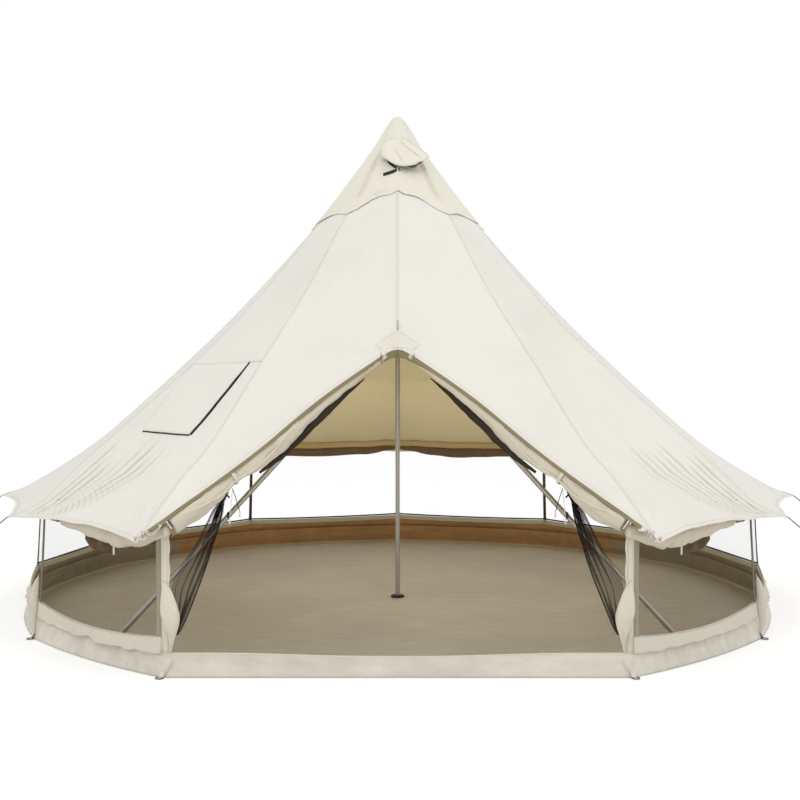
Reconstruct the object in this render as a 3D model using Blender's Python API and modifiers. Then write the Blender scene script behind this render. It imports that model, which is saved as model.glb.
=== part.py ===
"""Canvas bell tent with an A-frame door.

Twelve roof panels hang from a centre pole and are lifted over an A-frame at the door. Ten
net walls stand on a sewn-in groundsheet, with the canvas walls rolled up above them. The
door's canvas and net are tied back to both sides, a flap covers the stove opening, and a
hood covers the vent below the apex.

Metres, +Z up. The origin is on the ground under the centre pole, and the door faces -Y.
Angles in plan are counted in degrees from the door, positive towards +X.
"""

import bisect
import math
from collections import namedtuple

import bmesh
import bpy
from mathutils import Matrix, Quaternion, Vector
from mathutils.bvhtree import BVHTree

# Fits
TOUCH = 0.0003            # gap kept between pieces that touch
SEWN_GAP = 0.0008         # gap between a hanging edge and the roof above it

# Plan
CORNER_STEP = 30.0        # angle between neighbouring seams
WALL_SIDES = 10           # sides with a wall; the door takes the two front steps
FLOOR_RADIUS = 2.306      # corners of the groundsheet on the ground
UPSTAND_LEAN = 0.031      # how far the upstand leans in
WALL_LEAN = 0.040         # the same for the wall above it
UPSTAND_RADIUS = FLOOR_RADIUS - UPSTAND_LEAN      # corners at the top of the groundsheet's upstand
WALL_TOP_RADIUS = UPSTAND_RADIUS - WALL_LEAN      # corners where the walls meet the roof
DOOR_OVERHANG = 0.256     # eave tips beyond the wall, on each kind of seam
CORNER_OVERHANG = 0.205
SIDE_OVERHANG = 0.252
BACK_OVERHANG = 0.235

# Heights
TENT_HEIGHT = 3.0         # tip of the apex cap
ROOF_TOP = 2.955          # ring where the roof panels start
UPSTAND_HEIGHT = 0.12
WALL_LEAN_TOP = 0.76      # height at which the wall has reached its top radius
WALL_BAND_TOP = 0.195     # top of the canvas band below the net
WALL_TOP_BAND = 0.045     # depth of the canvas band above the net
WALL_EDGE_STRIP = 0.030   # width of the canvas strip beside the net
NET_OVERLAP = 0.006       # how far the net runs into its canvas border
SEAM_MARGIN = 0.004       # share of a side left out beside each seam where the roof is felt for
FRAME_TOP = 1.698         # canvas where it passes over the A-frame
DOOR_TOP = 1.595          # top of the door's hem

# Cloth
CANVAS = 0.002
GROUNDSHEET = 0.0025
NET = 0.001
BINDING = 0.003
APEX_OPENING_RADIUS = 0.03
EAVE_SCALLOP = 0.066      # how far an eave is cut back halfway between two tips

# A seam's eave, and its bow as shares (out from the axis, down from the tip)
SeamShape = namedtuple("SeamShape", "eave_radius eave_height bow")
DOOR_SEAM = SeamShape(WALL_TOP_RADIUS + DOOR_OVERHANG, 0.692, (
    (0.242, 0.279), (0.407, 0.468), (0.582, 0.638), (0.759, 0.812), (0.862, 0.885)))
CORNER_SEAM = SeamShape(WALL_TOP_RADIUS + CORNER_OVERHANG, 0.682, (
    (0.225, 0.290), (0.400, 0.497), (0.558, 0.650), (0.813, 0.871), (0.930, 0.974)))
SIDE_SEAM = SeamShape(WALL_TOP_RADIUS + SIDE_OVERHANG, 0.645, (
    (0.176, 0.253), (0.413, 0.527), (0.644, 0.755), (0.779, 0.873), (0.922, 0.966)))
BACK_SEAM = SeamShape(WALL_TOP_RADIUS + BACK_OVERHANG, 0.690, (
    (0.202, 0.277), (0.437, 0.537), (0.660, 0.753), (0.810, 0.872), (0.903, 0.948)))

# Door: the hem hangs from the A-frame and ends beside the eave tip. Its run between is given as
# shares of the way from its middle to its end, as (across, towards the door, down)
FRAME_REACH = 1.41        # how far the A-frame stands in front of the pole
HEM_REACH = 0.09          # how far the hem's middle hangs in front of the A-frame
HEM_END_INSET = 0.0705    # from the eave tip in to the hem's end
HEM_END_RISE = 0.053      # from the eave tip up to the hem's end
HEM_END_DEG = 29.584      # plan angle of the hem's end
HEM_RUN = ((0.0628, 0.0248, 0.0271), (0.3289, 0.2645, 0.2929), (0.6293, 0.6281, 0.6318))

# Apex cap
CAP_CANVAS = 0.002
CAP_LIFT = 0.0018         # cap above the roof at its corners
CAP_TIP_DEPTH = 0.0028    # thickness at the tip, measured along the pole
CAP_FIRST_RING = 0.02     # below the roof's start
CAP_DROP_DOOR = 0.655     # hem below the tip along the door's seam
CAP_DROP_SEAM = 0.855     # hem below the tip along the other seams
CAP_SCALLOP = 0.03

# Vent below the hood, as distances down the door's seam, and the hood itself
VENT_TOP = 0.22
VENT_BOTTOM = 0.33
VENT_SPREAD = 0.45        # share of each front panel's width that the vent takes
VENT_HEM = 0.004          # how much wider the cap's opening is than the roof's
VENT_NET_GAP = 0.0007     # between the net and the edge of the roof's opening
VENT_NET_RECESS = 0.0004  # net below the canvas around it
HOOD_TOP = 0.17
HOOD_LENGTH = 0.31
HOOD_TOP_HALF_WIDTH = 0.035
HOOD_HALF_WIDTH = 0.145
HOOD_ARCH = 0.022
HOOD_CANVAS = 0.002
HOOD_LIFT = CAP_LIFT + CAP_CANVAS + HOOD_CANVAS / 2 + 2 * TOUCH
HOOD_OPEN_DEG = 11.0
STRUT_PLACE = 0.80        # share of the hood's length where the strut is sewn on
STRUT_STEP = 0.012        # how far up the cap the strut's foot leans
STRUT_WIDTH = 0.014
STRUT_THICKNESS = 0.003

# Stove opening in the panel left of the door, as shares of the panel
FLAP_PANEL_STEP = 1
FLAP_TOP_HEIGHT = 1.505
FLAP_LENGTH = 0.53
FLAP_SEAM_SIDE = 0.985    # share across the panel, from the seam nearer the door
FLAP_DOOR_SIDE = 0.175
FLAP_CANVAS = 0.002
FLAP_LIFT = 0.0022
JACK_TOP_MARGIN = 0.10
JACK_LENGTH = 0.30
JACK_DOOR_SIDE = 0.36
JACK_SEAM_SIDE = 0.74
JACK_THICKNESS = 0.0012
JACK_RECESS = 0.0008      # below the canvas around it
JACK_EDGE_GAP = 0.0005    # between the plate and the edge of the canvas
JACK_PIPE_RADIUS = 0.075
CUTTER_REACH = 0.04       # how far a round cutter passes through the canvas on either side

# Rolled canvas walls
ROLL_DROP = 0.105         # roof to the roll's underside, halfway along a side
ROLL_DROP_TIED = 0.060    # the same at the ties on the seams
ROLL_THICKNESS = 0.062
ROLL_THICKNESS_TIED = 0.034
ROLL_NECK = 0.006         # thickness of the cloth above the roll
ROLL_LOBES = 2            # sags between ties on one side
ROLL_FULLNESS = 0.6       # how quickly the roll widens away from a tie

# Tied-back door canvas: radii of the roll down the hem, ties included
DOOR_ROLL_RADII = (0.020, 0.038, 0.046, 0.047, 0.048, 0.048, 0.044, 0.042, 0.038, 0.060, 0.066, 0.046)
DOOR_ROLL_START = 0.045   # shares of the hem at which the roll starts and ends
DOOR_ROLL_END = 0.93
DOOR_ROLL_CLEARANCE = 0.0009
DOOR_ROLL_FLATNESS = 0.86 # width over depth of the roll's section
DOOR_ROLL_INWARD = Vector((-0.25, 0.62, -0.75))   # from the hem towards the roll, on the right side

# Tied-back net: how far its two edges stand off a straight line from the hem's lower point to the
# corner of the wall, at even steps down, as (across, away from the door, up)
NET_ATTACHED_EDGE = (
    (0.0930, -0.0450, -0.1960), (0.1087, -0.0500, -0.1421), (0.1195, -0.0450, -0.1023),
    (0.1172, -0.0399, -0.0745), (0.1030, -0.0349, -0.0527), (0.0347, -0.0248, -0.0288),
    (-0.0375, -0.0148, 0.0100))
NET_FREE_EDGE = (
    (0.0880, -0.0250, -0.1960), (0.0557, 0.0150, -0.1421), (0.0245, 0.0450, -0.1023),
    (0.0132, 0.0651, -0.0745), (-0.0040, 0.0651, -0.0527), (-0.0183, 0.0352, -0.0288),
    (-0.0525, 0.0052, 0.0100))
NET_FOLDS = 4
NET_FOLD_DEPTH = 0.016
NET_BUNDLE = 0.008
NET_FOLD_SLACK = 0.22     # depth of a fold at most, as a share of the net's width there
NET_TIE_RADIUS = 0.012
NET_BELOW_ROLL = 0.3      # how far below its tie the net feels for the roll above

# Centre pole
POLE_RADIUS = 0.0150
POLE_BORE = 0.0138
POLE_FOOT_SECTION_RADIUS = 0.0135
POLE_FOOT_SECTION_BORE = 0.0122
POLE_FIRST_JOINT = 0.94
POLE_SECOND_JOINT = 1.95
POLE_OVERLAP = 0.10
SPIGOT_CLEARANCE = 0.0008
SPIGOT_WALL = 0.0012
SWAGE_START = 0.03        # where a tube starts to narrow towards its spigot, below the joint
SWAGE_END = 0.01
POLE_FOOT_RADIUS = 0.042
POLE_FOOT_HEIGHT = 0.012
POLE_FOOT_CHAMFER = 0.004
POLE_FOOT_BOSS = 0.040
POLE_TOP_RADIUS = 0.021
POLE_TOP_HEIGHT = 0.030
POLE_TOP_CHAMFER = 0.0045
POLE_TOP_PLUG = 0.05
POLE_SPIKE_RADIUS = 0.006
POLE_SPIKE_GAP = 0.010    # from the spike to the inside of the cap's tip

# A-frame
FRAME_AXIS_TOP = 1.696    # where the two legs' axes would meet
FRAME_FOOT_INSET = 0.2158 # A-frame's feet in from the floor's corners, both as distances from the pole
FRAME_FOOT_SPREAD = math.sqrt((FLOOR_RADIUS - FRAME_FOOT_INSET) ** 2 - FRAME_REACH ** 2)
FRAME_RADIUS = 0.0140
FRAME_BORE = 0.0126
FRAME_BEND_RADIUS = 0.080
FRAME_ELBOW_ARM = 0.090
FRAME_SPIGOT = 0.060
FRAME_SPIKE_RADIUS = 0.004
FRAME_SPIKE_TOP = 1.745
FRAME_SPIKE_HOLE = 0.0055
FRAME_JOINT_SHARE = 0.48  # where the upper tube meets the lower one
FRAME_FOOT_RADIUS = 0.019
FRAME_FOOT_LENGTH = 0.050
FRAME_FOOT_LIFT = 0.026   # from the ground to the tube's end, along the leg
FRAME_FOOT_EXCESS = 0.030 # rubber below the tube before it is cut flat
FLOOR_CUT_SIZE = 0.2

# Loops and ropes
PEG_LOOP_RADIUS = 0.024
PEG_LOOP_HOLE = 0.013
PEG_LOOP_THICKNESS = 0.003
PEG_LOOP_LIFT = 0.0006
ROPE_RADIUS = 0.003
ROPE_LENGTH = 0.125
ROPE_FALL_DEG = 38.0
ROPE_KNOT_RADIUS = 0.009

# Facets
ROOF_ROWS = 9
ROOF_COLUMNS = 4
FRONT_UPPER_ROWS = 6
FRONT_LOWER_ROWS = 6
WALL_COLUMNS = 6
ROLL_COLUMNS = 10
DOOR_ROLL_SIDES = 10
TUBE_SIDES = 14
ROPE_SIDES = 8
KNOT_SIDES = 10
KNOT_RINGS = 6
LOOP_SIDES = 12
PIPE_SIDES = 20
SPIKE_SIDES = 10
FRAME_BEND_STEPS = 6
FLAP_CELLS = 4

CANVAS_COLOUR = (0.82, 0.80, 0.73)
ROLL_COLOUR = (0.60, 0.55, 0.43)
NET_COLOUR = (0.035, 0.032, 0.030)
BINDING_COLOUR = (0.68, 0.64, 0.53)
SHEET_COLOUR = (0.58, 0.55, 0.48)
TUBE_COLOUR = (0.47, 0.45, 0.41)
BLACK = (0.02, 0.02, 0.02)
JACK_COLOUR = (0.42, 0.42, 0.40)


# Small helpers for points and directions

def direction(angle):
    """Horizontal unit vector at an angle from the door."""
    turn = math.radians(angle)
    return Vector((math.sin(turn), -math.cos(turn), 0.0))


def tangent(angle):
    """Horizontal unit vector towards growing angles."""
    turn = math.radians(angle)
    return Vector((math.cos(turn), math.sin(turn), 0.0))


def polar(angle, radius, height):
    """Point at a plan angle, a distance from the pole and a height."""
    return direction(angle) * radius + Vector((0.0, 0.0, height))


def mirrored(point, side):
    """The point on the right for side +1, and its mirror image for side -1."""
    return Vector((point[0] * side, point[1], point[2]))


def mix(near, far, share):
    """Value between two others."""
    return near + (far - near) * share


def smooth(points, steps=12):
    """Points of a smooth curve through the given ones."""
    ends = [points[0] * 2 - points[1], *points, points[-1] * 2 - points[-2]]
    curve = []
    for before, near, far, after in zip(ends, ends[1:], ends[2:], ends[3:]):
        for step in range(steps):
            t = step / steps
            slope = (far - before) * t
            bend = (2 * before - 5 * near + 4 * far - after) * t * t
            twist = (3 * near - before - 3 * far + after) * t ** 3
            curve.append(0.5 * (2 * near + slope + bend + twist))
    curve.append(points[-1].copy())
    return curve


class Path:
    """A run of points read by its share of the whole length."""

    def __init__(self, points):
        self.points = points
        self.reach = [0.0]
        for near, far in zip(points, points[1:]):
            self.reach.append(self.reach[-1] + (far - near).length)
        self.length = self.reach[-1]

    def at(self, share):
        """Point at a share of the length."""
        distance = min(max(share, 0.0), 1.0) * self.length
        index = min(max(bisect.bisect_right(self.reach, distance), 1), len(self.points) - 1)
        span = self.reach[index] - self.reach[index - 1]
        return self.points[index - 1].lerp(self.points[index], (distance - self.reach[index - 1]) / span)

    def along(self, share):
        """Unit direction of travel at a share of the length."""
        return (self.at(share + 0.004) - self.at(share - 0.004)).normalized()

    def share_at_height(self, height):
        """Share where a falling path passes a height."""
        low, high = 0.0, 1.0
        for _ in range(40):
            middle = (low + high) / 2
            if self.at(middle).z > height:
                low = middle
            else:
                high = middle
        return low


# Objects, modifiers and materials

def start_scene():
    """Empty the scene and make the collections."""
    for old in list(bpy.data.objects):
        bpy.data.objects.remove(old, do_unlink=True)
    parts = bpy.data.collections.new("canvas_bell_tent")
    cutters = bpy.data.collections.new("cutters")
    for collection in (parts, cutters):
        bpy.context.scene.collection.children.link(collection)
    return parts, cutters


PARTS, CUTTERS = start_scene()


def material(name, colour, roughness, metallic=0.0):
    """Principled material for one part."""
    made = bpy.data.materials.new(name)
    made.use_nodes = True
    shader = made.node_tree.nodes["Principled BSDF"]
    shader.inputs["Base Color"].default_value = (*colour, 1.0)
    shader.inputs["Roughness"].default_value = roughness
    shader.inputs["Metallic"].default_value = metallic
    return made


def add_object(name, bm, colour, roughness=0.85, metallic=0.0, origin=None, collection=PARTS):
    """Turn a bmesh into a named object with its own material."""
    origin = origin or Vector((0.0, 0.0, 0.0))
    bmesh.ops.translate(bm, verts=bm.verts, vec=-origin)
    bmesh.ops.recalc_face_normals(bm, faces=bm.faces)
    mesh = bpy.data.meshes.new(name)
    bm.to_mesh(mesh)
    bm.free()
    made = bpy.data.objects.new(name, mesh)
    made.location = origin
    collection.objects.link(made)
    mesh.materials.append(material(name, colour, roughness, metallic))
    return made


def hide_as_cutter(guide):
    """Show a cutter only as a wire."""
    guide.hide_render = True
    guide.display_type = "WIRE"
    return guide


def combine(target, other, operation):
    """Cut another object from a target, or join the two."""
    modifier = target.modifiers.new(operation.lower(), "BOOLEAN")
    modifier.operation = operation
    modifier.solver = "EXACT"
    modifier.object = hide_as_cutter(other)
    return modifier


def cylinder(name, radius, start, end, colour, sides=TUBE_SIDES, collection=PARTS):
    """Closed cylinder between two points."""
    bm = bmesh.new()
    axis = end - start
    turn = axis.to_track_quat("Z", "Y").to_matrix().to_4x4()
    place = Matrix.Translation((start + end) / 2) @ turn
    bmesh.ops.create_cone(bm, cap_ends=True, segments=sides, radius1=radius, radius2=radius,
                          depth=axis.length, matrix=place)
    return add_object(name, bm, colour, collection=collection)


def turned(name, profile, colour, roughness, metallic, place=None, closed=True):
    """Profile of (radius, height) points, run down the outer side, turned about Z."""
    bm = bmesh.new()
    corners = [bm.verts.new((radius, 0.0, height)) for radius, height in profile]
    for near, far in zip(corners, corners[1:] + corners[:1] if closed else corners[1:]):
        bm.edges.new((near, far))
    mesh = bpy.data.meshes.new(name)
    bm.to_mesh(mesh)
    bm.free()
    made = bpy.data.objects.new(name, mesh)
    PARTS.objects.link(made)
    mesh.materials.append(material(name, colour, roughness, metallic))
    screw = made.modifiers.new("turn", "SCREW")
    screw.steps = TUBE_SIDES
    screw.render_steps = TUBE_SIDES
    screw.use_merge_vertices = True
    screw.merge_threshold = 0.00005
    screw.use_smooth_shade = True
    if place is not None:
        made.matrix_world = place
    return made


def ring_loft(name, rings, colour, roughness=0.85, origin=None):
    """Closed solid through rings with as many points each."""
    bm = bmesh.new()
    loops = [[bm.verts.new(point) for point in ring] for ring in rings]
    count = len(loops[0])
    for near, far in zip(loops, loops[1:]):
        for k in range(count):
            bm.faces.new((near[k], near[(k + 1) % count], far[(k + 1) % count], far[k]))
    bm.faces.new(loops[0])
    bm.faces.new(loops[-1])
    return add_object(name, bm, colour, roughness, origin=origin)


def cloth_solid(name, outer, inner, colour, roughness=0.85, skip=(), origin=None):
    """Closed solid between two grids of points, with an opening where cells are skipped."""
    bm = bmesh.new()
    skins = [[[bm.verts.new(point) for point in row] for row in grid] for grid in (outer, inner)]
    rows, columns = len(outer) - 1, len(outer[0]) - 1
    kept = {(i, j) for i in range(rows) for j in range(columns)} - set(skip)
    corners = ((0, 0), (0, 1), (1, 1), (1, 0))
    neighbours = ((-1, 0), (0, 1), (1, 0), (0, -1))
    for i, j in kept:
        cell = [(i + di, j + dj) for di, dj in corners]
        for skin in skins:
            bm.faces.new([skin[a][b] for a, b in cell])
        for k, (di, dj) in enumerate(neighbours):
            if (i + di, j + dj) not in kept:
                (a, b), (c, d) = cell[k], cell[(k + 1) % 4]
                bm.faces.new((skins[0][a][b], skins[0][c][d], skins[1][c][d], skins[1][a][b]))
    loose = [vertex for vertex in bm.verts if not vertex.link_faces]
    bmesh.ops.delete(bm, geom=loose, context="VERTS")
    return add_object(name, bm, colour, roughness, origin=origin)


def grid_normals(grid, seams=(None, None)):
    """Inward normals of a grid; a side column on a seam is mitred with its neighbour's."""
    rows, columns = len(grid), len(grid[0])
    normals = []
    for i in range(rows):
        line = []
        for j in range(columns):
            down = grid[min(i + 1, rows - 1)][j] - grid[max(i - 1, 0)][j]
            across = grid[i][min(j + 1, columns - 1)] - grid[i][max(j - 1, 0)]
            normal = down.cross(across).normalized()
            if normal.dot(Vector((0.0, 0.0, 0.4)) - grid[i][j]) < 0:
                normal = -normal
            seam = seams[0] if j == 0 else seams[1] if j == columns - 1 else None
            if seam is not None:
                level = normal - seam * normal.dot(seam)
                normal = level / level.length_squared
            line.append(normal)
        normals.append(line)
    return normals


def inset(grid, normals, depth):
    """Grid moved inwards by a depth."""
    return [[point + normal * depth for point, normal in zip(row, line)] for row, line in zip(grid, normals)]


# Roof

def seam_shape(angle):
    """Shape of the seam at an angle."""
    return {30: DOOR_SEAM, 60: CORNER_SEAM, 90: SIDE_SEAM}.get(round(abs(angle)), BACK_SEAM)


def seam_path(angle):
    """Outer face of the roof along a seam, from the apex to the eave tip."""
    shape = seam_shape(angle)
    drop = TENT_HEIGHT - shape.eave_height
    points = [polar(angle, APEX_OPENING_RADIUS, ROOF_TOP)]
    points += [polar(angle, out * shape.eave_radius, TENT_HEIGHT - down * drop) for out, down in shape.bow]
    points.append(polar(angle, shape.eave_radius, shape.eave_height))
    return Path(smooth(points))


def door_seam_path():
    """The straight middle seam above the door, over the A-frame to the hem."""
    start, over_frame = polar(0, APEX_OPENING_RADIUS, ROOF_TOP), polar(0, FRAME_REACH, FRAME_TOP)
    return Path([start, over_frame, door_hem_middle()])


def door_hem_middle():
    """Lowest point of the hem on the tent's middle line."""
    return polar(0, FRAME_REACH + HEM_REACH, DOOR_TOP)


def door_hem_run():
    """Points of the hem on the right side, from its shoulder to its end by the eave tip."""
    middle = door_hem_middle()
    end = polar(HEM_END_DEG, DOOR_SEAM.eave_radius - HEM_END_INSET, DOOR_SEAM.eave_height + HEM_END_RISE)
    span = end - middle
    run = [middle + Vector((span.x * across, span.y * out, span.z * down)) for across, out, down in HEM_RUN]
    return [*run, end]


def door_hem_path(side):
    """The door's hem from its middle to the eave."""
    return Path([door_hem_middle(), *(mirrored(point, side) for point in smooth(door_hem_run()))])


def front_rows(side):
    """Edge points of a front panel's rows, from the apex to the eave."""
    seam = seam_path(CORNER_STEP * side)
    middle, hem = door_seam_path(), door_hem_path(side)
    split = seam.share_at_height(DOOR_TOP)
    over_frame = middle.reach[1] / middle.length
    shares = [VENT_TOP / middle.length, VENT_BOTTOM / middle.length]
    below_vent = FRONT_UPPER_ROWS - len(shares)
    shares += [mix(shares[1], over_frame, (k + 1) / below_vent) for k in range(below_vent)]
    rows = [(middle.at(share), seam.at(share * split)) for share in [0.0, *shares]]
    for k in range(FRONT_LOWER_ROWS + 1):
        share = k / FRONT_LOWER_ROWS
        rows.append((hem.at(share), seam.at(mix(split, 1.0, share))))
    return rows


def shares_with(stops, count):
    """Even shares from 0 to 1, with the given stops among them."""
    even = [k / count for k in range(count + 1)]
    apart = [share for share in even if all(abs(share - stop) > 0.3 / count for stop in stops)]
    return sorted([*apart, *stops])


def side_point(step, side, share, across):
    """Outer face of any panel but the front two, with its scalloped eave."""
    near, far = SEAMS[step, side], SEAMS[step + 1, side]
    level = share * eave_cut(near, across)
    return near.at(level).lerp(far.at(level), across)


def eave_cut(seam, across):
    """Share of a seam's length that a panel keeps at a place between its seams."""
    return 1 - EAVE_SCALLOP / seam.length * 4 * across * (1 - across)


def panel_grid(step, side, shares, columns):
    """Outer grid of a roof panel."""
    if step == 0:
        return [[near.lerp(far, across) for across in columns] for near, far in front_rows(side)]
    return [[side_point(step, side, share, across) for across in columns] for share in shares]


def open_seams(grid, step, side):
    """Draw both seam columns back by half the gap between panels."""
    for column, angle, way in ((0, step * CORNER_STEP, 1), (-1, (step + 1) * CORNER_STEP, -1)):
        shift = tangent(angle * side) * (way * side * TOUCH / 2)
        for row in grid:
            row[column] = row[column] + shift
    return grid


def panel_number(step, side):
    """Panels are numbered from the door towards +X, all the way round."""
    return step + 1 if side > 0 else 12 - step


def build_roof_panel(step, side):
    """One roof panel between two seams, with its opening where it has one."""
    number = panel_number(step, side)
    columns = [k / ROOF_COLUMNS for k in range(ROOF_COLUMNS + 1)]
    shares = [k / ROOF_ROWS for k in range(ROOF_ROWS + 1)]
    skip = set()
    if step == 0:
        columns = [0.0, VENT_SPREAD, 0.72, 1.0]
        skip = {(1, 0)}
    if is_stove_panel(step, side):
        shares, columns = stove_panel_lines()
        first, last = (shares.index(share) for share in jack_shares())
        left, right = columns.index(JACK_DOOR_SIDE), columns.index(JACK_SEAM_SIDE)
        skip = {(i, j) for i in range(first, last) for j in range(left, right)}
    grid = open_seams(panel_grid(step, side, shares, columns), step, side)
    seams = (tangent(step * CORNER_STEP * side), tangent((step + 1) * CORNER_STEP * side))
    normals = grid_normals(grid, seams)
    inner = inset(grid, normals, CANVAS)
    panel = cloth_solid(f"roof_panel_{number:02d}", grid, inner, CANVAS_COLOUR, skip=skip)
    if step == 0:
        ends = [polar(0, FRAME_REACH, FRAME_TOP + way * CUTTER_REACH) for way in (-1, 1)]
        hole = cylinder(f"spike_hole_{number:02d}", FRAME_SPIKE_HOLE, *ends, BLACK, collection=CUTTERS)
        combine(panel, hole, "DIFFERENCE")
    return panel


def search_tree(cloths):
    """Search tree over the triangles of some pieces, for what lies against them."""
    vertices, faces = [], []
    for cloth in cloths:
        first = len(vertices)
        place = Matrix.Translation(cloth.location)
        vertices += [place @ vertex.co for vertex in cloth.data.vertices]
        cloth.data.calc_loop_triangles()
        faces += [[first + index for index in triangle.vertices] for triangle in cloth.data.loop_triangles]
    return BVHTree.FromPolygons(vertices, faces)


def underside(x, y):
    """Height of the roof's underside above a point in plan."""
    hit = ROOF.ray_cast(Vector((x, y, 0.3)), Vector((0.0, 0.0, 1.0)))[0]
    return hit.z


# Stove opening

def is_stove_panel(step, side):
    """The stove opening is in the panel left of the front one."""
    return step == FLAP_PANEL_STEP and side < 0


def jack_shares():
    """Shares down the stove panel of the opening's top and foot."""
    length = SEAMS[FLAP_PANEL_STEP, -1].length
    top = SEAMS[FLAP_PANEL_STEP, -1].share_at_height(FLAP_TOP_HEIGHT) + JACK_TOP_MARGIN / length
    return top, top + JACK_LENGTH / length


def stove_panel_lines():
    """Shares down and across at which the stove panel has its rows and columns."""
    return shares_with(jack_shares(), ROOF_ROWS), shares_with((JACK_DOOR_SIDE, JACK_SEAM_SIDE), ROOF_COLUMNS)


def stove_panel_point(share, across):
    """Point on the facets of the stove panel's outer face."""
    shares, columns = stove_panel_lines()
    i = min(bisect.bisect_right(shares, share), len(shares) - 1)
    j = min(bisect.bisect_right(columns, across), len(columns) - 1)
    down = (share - shares[i - 1]) / (shares[i] - shares[i - 1])
    over = (across - columns[j - 1]) / (columns[j] - columns[j - 1])
    rows = [[side_point(FLAP_PANEL_STEP, -1, shares[a], columns[b]) for b in (j - 1, j)] for a in (i - 1, i)]
    return rows[0][0].lerp(rows[0][1], over).lerp(rows[1][0].lerp(rows[1][1], over), down)


def stove_grid(shares, columns, lift, straight=False):
    """Points over the stove panel's outer face, in its own rows or in straight ones."""
    seam = SEAMS[FLAP_PANEL_STEP, -1]
    lines = []
    for row_share in shares:
        line = []
        for across in columns:
            share = row_share / eave_cut(seam, across) if straight else row_share
            point = stove_panel_point(share, across)
            down = stove_panel_point(share + 0.01, across) - point
            over = stove_panel_point(share, across + 0.01) - point
            normal = down.cross(over).normalized()
            if normal.z < 0:
                normal = -normal
            line.append(point + normal * lift)
        lines.append(line)
    return lines


def build_stove_jack():
    """Heat-proof plate that fills the opening, with a hole for the pipe."""
    top, foot = jack_shares()
    shares, columns = stove_panel_lines()
    length = SEAMS[FLAP_PANEL_STEP, -1].length
    width = (stove_panel_point(top, 0.0) - stove_panel_point(top, 1.0)).length
    edge, rise = JACK_EDGE_GAP / width, JACK_EDGE_GAP / length
    down = [top + rise, *[share for share in shares if top < share < foot], foot - rise]
    over = [JACK_DOOR_SIDE + edge, *[share for share in columns if JACK_DOOR_SIDE < share < JACK_SEAM_SIDE],
            JACK_SEAM_SIDE - edge]
    outer = stove_grid(down, over, -JACK_RECESS)
    inner = stove_grid(down, over, -JACK_RECESS - JACK_THICKNESS)
    plate = cloth_solid("stove_jack", outer, inner, JACK_COLOUR, 0.7)
    middle = [stove_grid([(top + foot) / 2], [(JACK_DOOR_SIDE + JACK_SEAM_SIDE) / 2], lift)[0][0]
              for lift in (-CUTTER_REACH, CUTTER_REACH)]
    pipe = cylinder("pipe_hole", JACK_PIPE_RADIUS, *middle, BLACK, PIPE_SIDES, CUTTERS)
    combine(plate, pipe, "DIFFERENCE")
    return plate


def build_stove_flap():
    """Flap over the stove opening, hinged along its top edge."""
    seam = SEAMS[FLAP_PANEL_STEP, -1]
    top = seam.share_at_height(FLAP_TOP_HEIGHT)
    foot = top + FLAP_LENGTH / seam.length
    shares = [mix(top, foot, k / FLAP_CELLS) for k in range(FLAP_CELLS + 1)]
    columns = [mix(FLAP_DOOR_SIDE, FLAP_SEAM_SIDE, k / FLAP_CELLS) for k in range(FLAP_CELLS + 1)]
    inner = stove_grid(shares, columns, FLAP_LIFT, straight=True)
    outer = stove_grid(shares, columns, FLAP_LIFT + FLAP_CANVAS, straight=True)
    hinge = [(near + far) / 2 for near, far in zip(outer[0], inner[0])]
    origin = (hinge[0] + hinge[-1]) / 2
    return cloth_solid("stove_flap", outer, inner, CANVAS_COLOUR, origin=origin)


# Apex cap, vent and hood

def cap_point(angle, distance, lift):
    """Point over the roof between seams, lifted off it."""
    near = math.floor(angle / CORNER_STEP) * CORNER_STEP
    across = (angle - near) / CORNER_STEP
    ends = [signed_seam(near), signed_seam(near + CORNER_STEP)]
    points = [path.at(distance / path.length) for path in ends]
    low, high = [path.at((distance + 0.02) / path.length) for path in ends]
    point = points[0].lerp(points[1], across)
    down = low.lerp(high, across) - point
    outward = down.cross(tangent(angle)).normalized()
    if outward.dot(direction(angle)) < 0:
        outward = -outward
    aside = point.lerp(points[0].lerp(points[1], 0.5), 0.02)
    hit = ROOF.ray_cast(aside + outward * 0.05, -outward)[0]
    return point + outward * ((hit - aside).dot(outward) + lift)


def signed_seam(angle):
    """Seam path at any angle from 0 to 360."""
    angle = round(angle) % 360
    if angle == 0:
        return door_seam_path()
    if angle <= 180:
        return SEAMS[round(angle / CORNER_STEP), 1]
    return SEAMS[round((360 - angle) / CORNER_STEP), -1]


def cap_drop(angle):
    """Distance from the roof's start to the cap's hem."""
    away = min(angle, 360 - angle)
    if away < CORNER_STEP:
        return mix(CAP_DROP_DOOR, CAP_DROP_SEAM, away / CORNER_STEP)
    return CAP_DROP_SEAM - CAP_SCALLOP * abs(math.sin(math.radians(away * 180 / CORNER_STEP)))


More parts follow.
